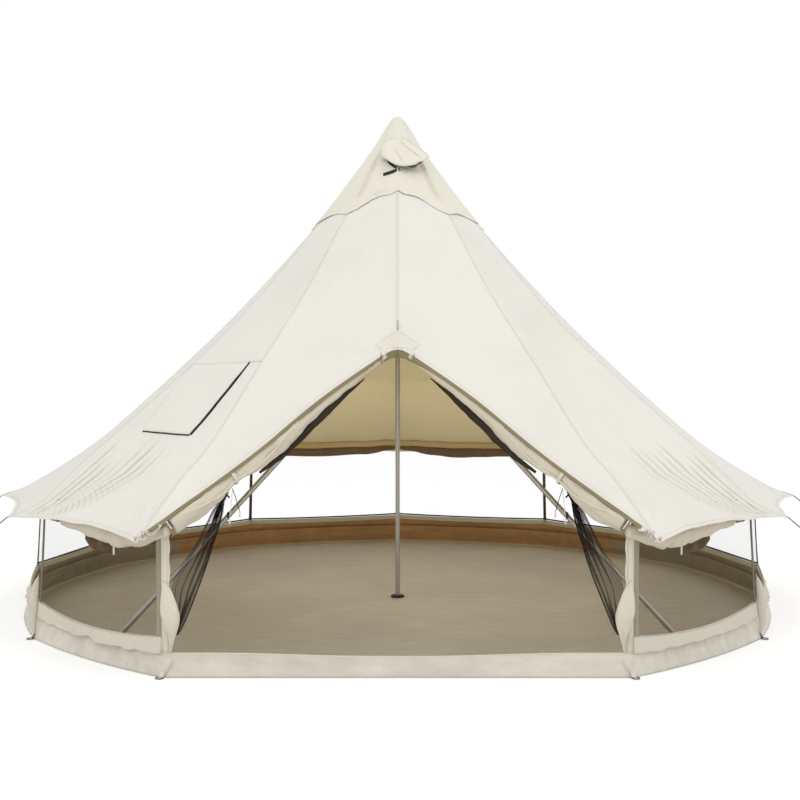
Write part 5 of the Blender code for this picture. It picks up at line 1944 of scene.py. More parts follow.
@dataclass
class StoveOpening:
    """Flap, stitched frame and heat-proof plate in the panel left of the door."""

    lift: float = 0.0024
    top_door: tuple = (0.6016, 0.1697)
    top_seam: tuple = (0.5953, 0.985)
    low_door: tuple = (0.7647, 0.2606)
    low_seam: tuple = (0.7618, 0.7573)
    steps: int = 40
    hem_gap: float = 0.055
    hem_depth: float = 0.015
    hem_rise: float = 0.0009
    pipe_radius: float = 0.075
    plate_steps: int = 34
    facing_way: tuple = (-0.5, -0.6, 0.6)

    def inside(self, down: float, over: float, lift: float) -> Vector:
        """Point on the flap's four-cornered shape, from the door's side and its top.

        Args:
            down: share down the flap.
            over: share across it.
            lift: distance off the roof.

        Returns:
            The point.
        """
        share, across = (mix(mix(self.top_door[k], self.top_seam[k], over),
                             mix(self.low_door[k], self.low_seam[k], over), down) for k in (0, 1))
        return self.place(share, across, lift)

    def place(self, share: float, across: float, lift: float) -> Vector:
        """Point over the stove panel in straight rows."""
        cut = 1.0 - PLAN.scallop / SEAMS[1, -1].length * 4.0 * across * (1.0 - across)
        return ROOF.real(1, -1, share / cut, across, lift)

    def build(self) -> None:
        """Build the flap, its trim and what it covers."""
        top = SEAMS[1, -1].share_at_height(PLAN.flap_top_height)
        head = (top - self.top_door[0]) / (self.low_door[0] - self.top_door[0])
        grid = [[self.surface(i / 36, j / self.steps) for j in range(self.steps + 1)] for i in range(37)]
        flap = grid_piece("stove_flap_cloth", grid, [Finish.ROOF, Finish.CAP])
        face_up(flap, Vector(self.facing_way))
        thicken(flap, PLAN.canvas, 1)
        tuple(self.surface(0.0, 0.5))
        tuple(self.surface(head, 0.5))
        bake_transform(flap)
        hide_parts("stove_flap")
        self.hem(head + self.hem_gap)
        self.tape()
        self.plate()

    def surface(self, down: float, over: float) -> Vector:
        """Point on the flap's outer face, with its fold and its loose edges.

        Args:
            down: share down the flap.
            over: share across it.

        Returns:
            The point.
        """
        free = max(ease(1.0 - over, 0.86, 1.0), 0.7 * ease(down, 0.88, 1.0)) * ease(down, 0.06, 0.3)
        fold = hump(over, 0.376 + 0.655 * down, 0.022)
        low = hump(over, 0.345 + 0.655 * down, 0.030)
        lift = self.lift + PLAN.canvas + 0.005 * free + (0.0045 * fold - 0.0012 * low) * ease(down, 0.0, 0.06)
        lift += 0.0016 * noise.noise(Vector((over * 7.0, down * 5.0, 2.4))) * ease(down, 0.05, 0.3)
        return self.inside(down, over, lift)

    def hem(self, high: float) -> None:
        """Hem of the flap below its sewn line.

        Args:
            high: share of the flap's height at which its side hems start.
        """
        maker = RoofCanvas(seam_rise=self.hem_rise)
        shares = [k / self.steps for k in range(self.steps + 1)]
        downs = [mix(high, 1.0, share) for share in shares]
        parts = []
        for edge, inner in (([(down, 0.0) for down in downs], [(down, 0.03) for down in downs]),
                            ([(down, 1.0) for down in downs], [(down, 0.97) for down in downs]),
                            ([(1.0, share) for share in shares], [(0.97, share) for share in shares])):
            parts.append(maker.edge_band("flap_edge", [self.surface(*spot) for spot in edge],
                                         [self.surface(*spot) for spot in inner], self.hem_depth,
                                         Finish.SEAM))
        settle(joined("stove_flap_hem", parts), "stove_flap", "canvas")

    def tape(self) -> None:
        """Dark strips beside the flap's door-side edge and below its lower edge, and the line that sews it to
        the roof.
        """
        off = ROOF.normal(1, -1, 0.68, 0.5)
        dark = []
        for run, width in (([self.inside(k / 30, -0.010, 0.0012) for k in range(31)], 0.020),
                           ([self.inside(1.008, k / 30, 0.0010) for k in range(31)], 0.008)):
            dark.append(strap("tape", run, [off] * 31, width, 0.0014, Finish.BLACK_WEB))
        settle(joined("stove_flap_dark_edges", dark), "tent", "webbing")
        line = []
        for k in range(self.steps + 1):
            share = mix(self.top_door[0], self.top_seam[0], k / self.steps) - 0.001
            line.append(self.place(share, mix(0.004, self.top_seam[1], k / self.steps), 0.0030))
        seam = strap("stove_flap_seam", line, [off] * len(line), 0.010, 0.0022, Finish.SEAM)
        settle(seam, "tent", "canvas")

    def plate(self) -> None:
        """Heat-proof plate with its round hole for the pipe."""
        head, end = ROOF.jack_rows()
        count = self.plate_steps
        middle = (head + end) / 2, (PLAN.jack_door_side + PLAN.jack_seam_side) / 2
        centre = ROOF.real(1, -1, *middle, -0.0015)
        downs = [mix(head - 0.004, end + 0.004, k / count) for k in range(count + 1)]
        overs = [mix(PLAN.jack_door_side - 0.008, PLAN.jack_seam_side + 0.008, k / count)
                 for k in range(count + 1)]
        grid = [[ROOF.real(1, -1, down, over, -0.0028) for over in overs] for down in downs]
        gone = {(i, j) for i in range(count) for j in range(count)
                if ((grid[i][j] + grid[i + 1][j + 1]) / 2 - centre).length < self.pipe_radius}
        plate = grid_piece("stove_jack_plate", grid, [Finish.GLASS], gone)
        face_up(plate, Vector(self.facing_way))
        thicken(plate, 0.001)
        settle(plate, "tent", "heat_cloth", "stove_jack")
        rim = ring_of("stove_pipe_rim", centre, ROOF.normal(1, -1, *middle), self.pipe_radius + 0.004, 0.0032,
                      Finish.GLASS, 40)
        settle(rim, "tent", "heat_cloth")


# Walls

@dataclass
class WallSide:
    """Places on one of the ten straight sides, numbered as the roof panel above it."""

    number: int
    skin: Skin

    def edge(self, radius: float, across: float, height: float, outward: float = 0.0) -> Vector:
        """Point on the side at a corner radius, mitred at both corners.

        Args:
            radius: distance from the pole to the side's corners.
            across: share along the side.
            height: height of the point.
            outward: distance outwards.

        Returns:
            The point.
        """
        start, end = (self.number - 1) * PLAN.step, self.number * PLAN.step
        near, far = polar(start, radius, height), polar(end, radius, height)
        way = (far - near).normalized()
        slip = way * (outward * math.tan(math.radians(PLAN.step / 2)))
        out = self.out() * outward
        return (near + out - slip).lerp(far + out + slip, across)

    def out(self) -> Vector:
        """Direction square to the side, outwards."""
        return direction((self.number - 0.5) * PLAN.step)

    def point(self, across: float, height: float, outward: float = 0.0) -> Vector:
        """Point on the leaning wall.

        Args:
            across: share along the side.
            height: height of the point.
            outward: distance outwards.

        Returns:
            The point.
        """
        share = (height - PLAN.upstand) / (PLAN.wall_lean_top - PLAN.upstand)
        radius = mix(PLAN.upstand_radius, PLAN.wall_top_radius, share)
        beside_door = {2: 1.0 - across, 11: across}.get(self.number, 0.0)
        straighter = (PLAN.door_post_radius - radius) * ease(beside_door, 0.0, 1.0)
        bulge = self.out() * (PLAN.floor_bow * 4.0 * across * (1.0 - across) * max(1.0 - share * 2.5, 0.0))
        return self.edge(radius, across, height, outward + straighter) + bulge

    def band_top(self, across: float) -> float:
        """Height of the net's lower edge, which sags beside the door."""
        sag = 0.040 if self.number in (2, 11) else 0.012
        return PLAN.band_top - sag * math.sin(math.pi * across) ** 0.8

    def top(self, across: float, outward: float = 0.0) -> float:
        """Height at which the wall meets the roof's underside.

        Args:
            across: share along the side.
            outward: distance outwards.

        Returns:
            The height.
        """
        height = PLAN.wall_lean_top
        for _ in range(3):
            place = self.point(across, height, outward)
            height = self.skin.underside(place.x, place.y) - 0.0012
        return height

    def far(self) -> bool:
        """Whether the side stands behind the pole as the door sees it."""
        return 4 <= self.number <= 9


@dataclass
class NetWall(WallSide):
    """Net wall of one side with bound edges, and the canvas band at its foot."""

    strip_widths: tuple = (0.042, 0.017, 0.012)
    brown_sides: tuple = (5, 6, 7, 8)
    top_band: float = 0.045
    columns: int = 26
    rows: int = 20
    foot_columns: int = 120
    foot_section: tuple = ((0.0, -0.007, 0.0), (0.0035, -0.010, 0.0), (0.0062, -0.002, 0.1),
                           (0.0075, 0.018, 0.15), (0.0085, 0.036, 0.3), (0.0115, 0.048, 0.8),
                           (0.0125, 0.058, 1.0), (0.0105, 0.068, 1.0), (0.0065, 0.076, 0.9),
                           (0.0025, 0.075, 0.6), (0.0006, 0.066, 0.2), (0.0004, 0.030, 0.0))

    def strip(self, corner: int) -> float:
        """Width of the canvas strip beside a corner."""
        return self.strip_widths[min(corner, 12 - corner, 3) - 1]

    def build(self) -> None:
        """Build the side."""
        self.net()
        self.border()
        self.foot()

    def net(self) -> None:
        """The net, a little slack between its borders."""
        grid = []
        for i in range(self.rows + 1):
            row = []
            for j in range(self.columns + 1):
                across = mix(0.006, 0.994, j / self.columns)
                foot, head = self.band_top(across) - 0.006, self.top(across) - self.top_band + 0.006
                point = self.point(across, mix(foot, head, i / self.rows))
                slack = math.sin(math.pi * j / self.columns) * math.sin(math.pi * i / self.rows)
                row.append(point - self.out() * (0.0012 - 0.010 * slack * noise.noise(point * 2.1)))
            grid.append(row)
        net = grid_piece(f"wall_net_{self.number:02d}", grid, [Finish.NET_FAR if self.far() else Finish.NET])
        face_up(net, self.out())
        thicken(net, 0.0006)
        settle(net, "tent", "net_wall", f"mesh_wall_{self.number:02d}")

    def border(self) -> None:
        """Canvas strips beside the net, the band above it and the tapes inside."""
        length = (self.point(1, 0.3) - self.point(0, 0.3)).length
        near, far = self.strip(self.number - 1) / length, 1.0 - self.strip(self.number) / length
        columns = [0.0, near * 0.5, near, *(mix(near, far, k / 20) for k in range(1, 20))]
        columns += [far, (1.0 + far) / 2, 1.0]
        tops = [self.top(clamp(across, 0.004, 0.996)) for across in columns]
        bands = [self.band_top(across) for across in columns]
        levels = [[PLAN.upstand] * len(columns), [mix(PLAN.upstand, band, 0.5) for band in bands], bands]
        levels += [[mix(band, top - self.top_band, k / 8) for band, top in zip(bands, tops)]
                   for k in range(1, 9)]
        levels += [[top - self.top_band * 0.5 for top in tops], tops]
        grid = [[self.point(*spot) for spot in zip(columns, heights)] for heights in levels]
        grid = [[point + self.out() * 0.0015 * noise.noise(point * 11.0) for point in row] for row in grid]
        inner = {(i, j) for i in range(2, 10) for j in range(2, len(columns) - 3)}
        name = f"wall_border_{self.number:02d}"
        # The strips' inner faces, and the strips away from the door, take painted shade.
        finishes = [Finish.OLIVE, Finish.STRIP_SHADE, Finish.OLIVE, Finish.TAN, Finish.WALL_OUT,
                    Finish.BROWN if self.number in self.brown_sides else Finish.DIM,
                    Finish.OLIVE_SHADED, Finish.STRIP_SHADE]
        border = grid_piece(name, grid, finishes, inner,
                            slots=lambda i, j: 4 if i < 2 else 2 if i > 9 else self.strip_slot(j))
        face_up(border, self.out())
        thicken(border, 0.003, 1)
        border = baked(border)
        # Behind the pole the binding inside is in painted shade.
        edges = [(-0.019, 0.014, Finish.BINDING_SHADED), (0.017, 0.028, Finish.BLACK_WEB)]
        if not self.far():
            edges = [(-0.019, 0.014, Finish.BINDING)]
        tapes = []
        for low, high, finish in edges:
            run = [self.point(k / 24, self.band_top(k / 24) + (low + high) / 2, -0.0045) for k in range(25)]
            tapes.append(strap("tape", run, [-self.out()] * 25, high - low, 0.0015, finish))
        settle(joined(name, [border, *tapes]), "tent", "net_wall")

    def strip_slot(self, column: int) -> int:
        """Slot of a strip: olive beside the door, and olive in painted shade elsewhere."""
        return 0 if self.number - (column < 10) in (1, 11) else 6

    def foot(self) -> None:
        """Canvas band over the upstand's edge, smooth above and crumpled along its lower fold."""
        rings = []
        for k in range(self.foot_columns + 1):
            across = k / self.foot_columns
            soft = min(1.0, 7.0 * across, 7.0 * (1.0 - across))
            high = self.band_top(across)
            ring = []
            for out, drop, crumple in self.foot_section:
                height = high - min(drop, high - 0.112)
                spot = self.point(across, height)
                rough = noise.noise(spot * 13.0) + 0.55 * noise.noise(spot * 34.0)
                fall = 0.012 * (noise.noise(spot * 11.0 + Vector((3.0, 0.0, 0.0))) - 0.2) * crumple * soft
                swell = 0.0125 * rough * crumple * soft + 0.0012 * noise.noise(spot * 8.0) * soft
                reach = max(out + max(swell, -0.6 * out), 0.0) + 0.0004
                ring.append(self.point(across, height + fall, reach))
            rings.append(ring)
        skirt = swept(f"wall_skirt_{self.number:02d}", rings, [Finish.WALL_OUT])
        settle(skirt, "tent", "rolled_canvas")


@dataclass
class WallRoll(WallSide):
    """Canvas wall of one side rolled up under the eave, tied at the seams, and halfway between on the sides
    nearer the door.
    """

    drop: float = 0.105
    drop_tied: float = 0.060
    thick: float = 0.062
    thick_tied: float = 0.034
    turns: float = 2.8
    columns: int = 60
    facing_turns: tuple = (3.9, 3.5, 3.14, 2.75, 2.35, 1.95, 1.6, 1.3)

    def lobe(self, across: float) -> float:
        """How far the roll hangs out between its ties, from 0 to 1."""
        return abs(math.sin(math.pi * across * (1 if self.far() else 2)))

    def section(self, across: float) -> tuple[float, float, float, float, float]:
        """Middle of the roll (outward, height), its two radii and the roof above it.

        Args:
            across: share along the side.

        Returns:
            The two places, the two radii and the height.
        """
        sag = self.lobe(across) ** 0.6
        drop, thick = mix(self.drop_tied, self.drop, sag), mix(self.thick_tied, self.thick, sag)
        drop *= 1.0 + 0.10 * noise.noise(Vector((self.number * 3.7, across * 4.0, 0.5))) * sag
        place = clamp(across, 0.01, 0.99)
        lean = (PLAN.upstand_radius - PLAN.wall_top_radius) / (PLAN.wall_lean_top - PLAN.upstand)
        clear = 0.0006 + lean * (PLAN.wall_lean_top - self.top(place) + drop)
        spot = self.edge(PLAN.wall_top_radius, place, 0.0, clear + 0.006)
        top = self.skin.underside(spot.x, spot.y) - 0.001
        return clear + thick * 0.53, top - drop * 0.62, thick * 0.46, drop * 0.37, top

    def beside(self, across: float, height: float, outward: float) -> Vector:
        """Point on the side at the wall's top."""
        return self.edge(PLAN.wall_top_radius, across, height, outward)

    def around(self, across: float, turn: float, reach: float) -> Vector:
        """Point round the roll at an angle from its outer side, downwards.

        Args:
            across: share along the side.
            turn: angle round the roll.
            reach: share of the roll's radii.

        Returns:
            The point.
        """
        out, up, wide, tall, _ = self.section(across)
        flat = 0.86 if math.sin(turn) < -0.2 else 1.0
        height = up - tall * reach * flat * math.sin(turn)
        return self.beside(across, height, out + wide * reach * math.cos(turn))

    def build(self) -> list[bpy.types.Object]:
        """Build the roll and its facing.

        Returns:
            Its ties and toggles.
        """
        shares = [k / self.columns for k in range(self.columns + 1)]
        sections = [self.section(across) for across in shares]
        self.roll(shares, sections)
        self.facing(shares, sections)
        places = [0.012] if self.far() else [0.012, 0.5]
        if self.number == 11:
            places.append(0.988)
        return [part for across in places for part in self.tie(across)]

    def roll(self, shares: list[float], sections: list[tuple]) -> None:
        """The rolled wall as a wound sheet.

        Args:
            shares: shares along the side.
            sections: the roll's section at each of them.
        """
        rows = [[self.beside(across, mix(top, up, m / 3), out + wide * mix(0.55, 0.97, m / 3))
                 for across, (out, up, wide, _, top) in zip(shares, sections)] for m in range(3)]
        for m in range(int(16 * self.turns) + 1):
            turn = 2 * math.pi * m / 16
            out = self.out() * math.cos(turn) + Vector((0.0, 0.0, -math.sin(turn)))
            row = []
            for across in shares:
                point = self.around(across, turn, 1.0 - 0.21 * m / 16)
                crumple = noise.noise(point * 16.0) * 0.55 + math.sin(across * 75.0 + turn * 1.7) * 0.25
                inner = 1.0 if m < 17 else 0.3
                row.append(point + out * 0.0034 * crumple * (0.35 + self.lobe(across)) * inner)
            rows.append(row)
        rows = [[self.skin.under(point) for point in row] for row in rows]
        roll = grid_piece(f"wall_roll_{self.number:02d}_cloth", rows, [Finish.WALL_OUT, Finish.WALL_IN])
        if roll.data.polygons[4 * self.columns + 5].normal.dot(self.out()) < 0:
            roll.data.flip_normals()
        thicken(roll, 0.0016, 1)
        settle(roll, "tent", "rolled_canvas", f"wall_roll_{self.number:02d}")

    def facing(self, shares: list[float], sections: list[tuple]) -> None:
        """The brown inner side of the roll.

        Args:
            shares: shares along the side.
            sections: the roll's section at each of them.
        """
        rows = [[self.beside(across, top - 0.001, max(out - wide * 1.02, 0.0002))
                 for across, (out, _, wide, _, top) in zip(shares, sections)]]
        rows += [[self.around(across, turn, 1.09) for across in shares] for turn in self.facing_turns]
        rows = [[self.skin.under(point, 0.0022) for point in row] for row in rows]
        inside = grid_piece(f"wall_facing_{self.number:02d}", rows, [Finish.WALL_IN])
        thicken(inside, 0.0014, offset=0.0)
        settle(inside, "tent", "rolled_canvas")

    def tie(self, across: float) -> list[bpy.types.Object]:
        """Tape round the roll with a toggle on its outer side.

        Args:
            across: its share along the side.

        Returns:
            The tape and the toggle.
        """
        out, up, wide, _, top = self.section(across)
        run = [self.beside(across, top - 0.002, out - wide * 0.9)]
        run += [self.around(across, math.pi * (1.05 - 1.25 * k / 18), 1.16) for k in range(19)]
        run.append(self.beside(across, top - 0.002, out + wide * 0.8))
        run = [self.skin.under(point, 0.0035) for point in run]
        middle = self.beside(across, up, out)
        ups = [(point - middle).normalized() for point in run]
        tape = strap("tie", run, ups, 0.012, 0.0016, Finish.CREAM_WEB)
        spot = self.around(across, 0.25, 1.30)
        way = (UP + (self.beside(1, 0, 0) - self.beside(0, 0, 0)).normalized() * 0.3).normalized()
        ends = [spot + way * d for d in (-0.017, -0.0155, -0.006, 0.0, 0.006, 0.0155, 0.017)]
        sizes = [0.0028, 0.0044, 0.0047, 0.0036, 0.0047, 0.0044, 0.0028]
        return [tape, tube("toggle", ends, sizes, Finish.TOGGLE, 12)]


@dataclass
class Walls:
    """The ten sides beside the door, with their net walls and rolled canvas."""

    skin: Skin
    numbers: range = range(2, 12)

    def build(self) -> None:
        """Build the net walls, and then the rolls with their ties."""
        for number in self.numbers:
            NetWall(number, self.skin).build()
        ties = [part for number in self.numbers for part in WallRoll(number, self.skin).build()]
        settle(joined("wall_roll_ties", ties), "tent", "webbing")


# Floor

@dataclass
class Groundsheet:
    """Welded tray: floor with folds and wrinkles, leaning upstand, threshold and peg loops."""

    columns: int = 360
    rows: int = 56
    rim_sag: float = 0.022
    brown_from: float = 135.0
    loop_radius: float = 0.0185
    loop_wire: float = 0.0026
    tab_section: tuple = ((-0.008, 0.030), (-0.003, 0.012), (0.003, 0.0035), (0.008, 0.0015),
                          (0.0035, -0.0035))

    @staticmethod
    def reach(angle: float, corner: float) -> float:
        """Distance from the pole to the outline at a plan angle.

        Args:
            angle: plan angle.
            corner: distance from the pole to the corners.

        Returns:
            The distance.
        """
        away = abs(angle)
        if away <= PLAN.step:
            return corner * math.cos(math.radians(PLAN.step)) / math.cos(math.radians(away))
        offset = (away % PLAN.step) - PLAN.step / 2
        bow = PLAN.floor_bow * (1.0 - (2.0 * offset / PLAN.step) ** 2)
        return corner * math.cos(math.radians(PLAN.step / 2)) / math.cos(math.radians(offset)) + bow

    @staticmethod
    def ripple(point: Vector) -> float:
        """Height of the floor's wrinkles: from the pole outwards, fold lines and slack.

        Args:
            point: place on the floor.

        Returns:
            The height.
        """
        radius, angle = point.length, math.atan2(point.x, -point.y)
        swirl = math.cos(angle * 19.0 + 2.0 * noise.noise(point * 0.9))
        star = swirl * math.exp(-radius / 0.75) * ease(radius, 0.05, 0.3)
        height = 0.0048 * star + 0.0042 * noise.noise(point * 2.3) + 0.0028 * noise.noise(point * 6.5)
        for place, span in ((point.x, 0.62), (point.y, 0.47)):
            gap = abs(place / span - round(place / span)) * span
            height += 0.0022 * math.exp(-(gap / 0.012) ** 2) * (0.5 + noise.noise(point * 1.5))
        rows = math.sin(point.y * 46.0 + 2.5 * noise.noise(point * 1.3)) * (0.4 + noise.noise(point * 0.8))
        return (height + 0.0016 * rows) * ease(radius, 0.06, 0.2) * (1.0 - ease(radius, 2.02, 2.16)) * 0.9

    def build(self) -> None:
        """Build the tray and what is sewn to it."""
        angles = [-180.0 + 360.0 * k / self.columns for k in range(self.columns)]
        grid = []
        for i in range(self.rows + 1):
            share = 0.004 + 0.996 * (i / self.rows) ** 0.86
            row = []
            for angle in angles:
                point = direction(angle) * (self.reach(angle, PLAN.floor_radius) - PLAN.floor_cloth) * share
                point.z = PLAN.floor_cloth + max(self.ripple(point), -0.0016)
                row.append(point)
            grid.append(row)
        grid += [[self.side(angle, k / 12) for angle in angles] for k in range(1, 13)]
        finishes = [Finish.FLOOR, Finish.UPSTAND, Finish.BROWN, Finish.UPSTAND, Finish.DIM, Finish.UPSTAND]
        upstand = [2 if abs(angle) >= self.brown_from else 4 for angle in angles]
        floor = grid_piece("groundsheet_cloth", grid, finishes, closed=True,
                           slots=lambda i, j: 0 if i < self.rows else upstand[j])
        if floor.data.polygons[self.columns * 5].normal.z < 0:
            floor.data.flip_normals()
        thicken(floor, PLAN.floor_cloth, 1)
        settle(floor, "tent", "groundsheet", "groundsheet")
        self.rim(angles)
        self.loops()

    def side(self, angle: float, share: float) -> Vector:
        """Inner face of the upstand from its foot to its rim.

        Args:
            angle: plan angle.
            share: share up the side.

        Returns:
            The point.
        """
        away, out = abs(angle), direction(angle)
        sag = self.rim_sag * ease(1.0 - away / PLAN.step, 0.0, 0.9)
        height = mix(PLAN.floor_cloth, PLAN.upstand - sag, share)
        rim = mix(PLAN.upstand_radius, PLAN.door_post_radius, hump(away, PLAN.step, 7.0))
        bend = min(share * 0.9 + 0.35 * share * (1 - share), 1.0) + 0.1 * share ** 4
        point = out * (self.reach(angle, mix(PLAN.floor_radius, rim, bend)) - PLAN.floor_cloth)
        slack = math.sin(math.pi * share) * (0.3 if share > 0.95 else 1.0)
        crumple = 0.006 * noise.noise(point * 5.0 + UP * (height * 14)) - 0.003
        crumple += 0.004 * noise.noise(point * 12.0 + UP * (height * 30))
        walled = ease(away, 24.0, 34.0)
        point += out * crumple * slack * walled
        point += out * 0.003 * noise.noise(point * 6.0) * slack * (1.0 - walled)
        point.z = height
        return point

    def rim(self, angles: list[float]) -> None:
        """Bound edge of the threshold and small gussets at the door's corners.

        Args:
            angles: plan angles of the cloth's columns.
        """
        run = [self.side(angle, 1.0) + direction(angle) * 0.0012
               for angle in angles if abs(angle) <= PLAN.step]
        parts = [tube("threshold_edge", run, 0.0042, Finish.BINDING, 8)]
        for side in (1, -1):
            corner = polar(PLAN.step * side, PLAN.floor_radius + 0.002, 0.0)
            post = polar(PLAN.step * side, PLAN.upstand_radius + 0.010, 0.115)
            inward = Vector((-0.040 * side, 0.0, 0.0))
            bulge, low = post.lerp(corner, 0.35), post.lerp(corner, 0.7)
            foot = corner + UP * 0.004
            leaf = [[post, post + inward * 1.1 + Vector((0, -0.006, -0.004))],
                    [bulge + Vector((0.006 * side, -0.010, 0)), bulge + inward * 1.2 + FRONT * 0.012],
                    [low, low + inward * 0.7 + FRONT * 0.008], [foot, foot + inward * 0.25]]
            gusset = grid_piece("gusset", leaf, [Finish.BINDING])
            face_up(gusset, FRONT)
            thicken(gusset, PLAN.canvas)
            parts.append(baked(gusset))
        settle(joined("threshold_trim", parts), "tent", "groundsheet")

    def loops(self) -> None:
        """Peg loops at the corners, set out and made by a node tree."""
        places = [polar(k * PLAN.step, PLAN.floor_radius + 0.018, 0.0032) for k in range(1, 12)]
        loops = piece("peg_loops", places, [], [Finish.BLACK_WEB])
        tree = NodeRecipe("peg_loops", {"Ring Radius": self.loop_radius, "Wire Radius": self.loop_wire},
                          Finish.BLACK_WEB)
        ring = tree.add("CurvePrimitiveCircle", Resolution=20, Radius=tree.given("Ring Radius"))
        wire = tree.add("CurvePrimitiveCircle", Resolution=8, Radius=tree.given("Wire Radius"))
        solid = tree.add("CurveToMesh", Curve=ring.outputs[0], Profile_Curve=wire.outputs[0], Fill_Caps=True)
        placed = tree.add("InstanceOnPoints", Points=tree.given("Geometry"), Instance=solid.outputs[0])
        tree.finish(placed.outputs[0], loops, {"Ring Radius": self.loop_radius})
        tabs = []
        for k in range(1, 12):
            out = direction(k * PLAN.step)
            corner = polar(k * PLAN.step, PLAN.floor_radius + 0.002, 0.006)
            run = [corner + out * d + Vector((0, 0, z)) for d, z in self.tab_section]
            width, finish = (0.030, Finish.CREAM_WEB) if k in (1, 11) else (0.014, Finish.BLACK_WEB)
            tabs.append(strap("tab", run, [out + UP] * 5, width, 0.0016, finish))
        settle(joined("peg_loops", [face_out(baked(loops)), *tabs]), "tent", "webbing")


class NodeRecipe(Nodes):
    """One Geometry Nodes tree for pieces that repeat, with its named sizes."""

    def __init__(self, name: str, sizes: dict[str, float], finish: Finish) -> None:
        """Start the tree.

        Args:
            name: the tree's name.
            sizes: its named inputs with their values.
            finish: what it is made of.
        """
        super().__init__(bpy.data.node_groups.new(name, "GeometryNodeTree"), "GeometryNode")
        self.finish_used = finish
        face = self.tree.interface
        face.new_socket("Geometry", in_out="INPUT", socket_type="NodeSocketGeometry")
        for key, value in sizes.items():
            face.new_socket(key, in_out="INPUT", socket_type="NodeSocketFloat").default_value = value
        face.new_socket("Geometry", in_out="OUTPUT", socket_type="NodeSocketGeometry")
        self.entry = self.tree.nodes.new("NodeGroupInput")

    def given(self, name: str) -> bpy.types.NodeSocket:
        """One of the tree's inputs."""
        return self.entry.outputs[name]

    def finish(self, placed: bpy.types.NodeSocket, obj: bpy.types.Object, values: dict[str, float]) -> None:
        """End the tree and put it on an object.

        Args:
            placed: the instances.
            obj: the object whose points or lines it uses.
            values: values for its named inputs.
        """
        real = self.add("RealizeInstances", Geometry=placed)
        dressed = self.add("SetMaterial", Geometry=real.outputs[0], Material=self.finish_used.material())
        out = self.tree.nodes.new("NodeGroupOutput")
        self.tree.links.new(dressed.outputs[0], out.inputs[0])
        modifier = obj.modifiers.new("recipe", "NODES")
        modifier.node_group = self.tree
        for item in self.tree.interface.items_tree:
            if item.in_out == "INPUT" and item.name in values:
                modifier[item.identifier] = values[item.name]


# Door

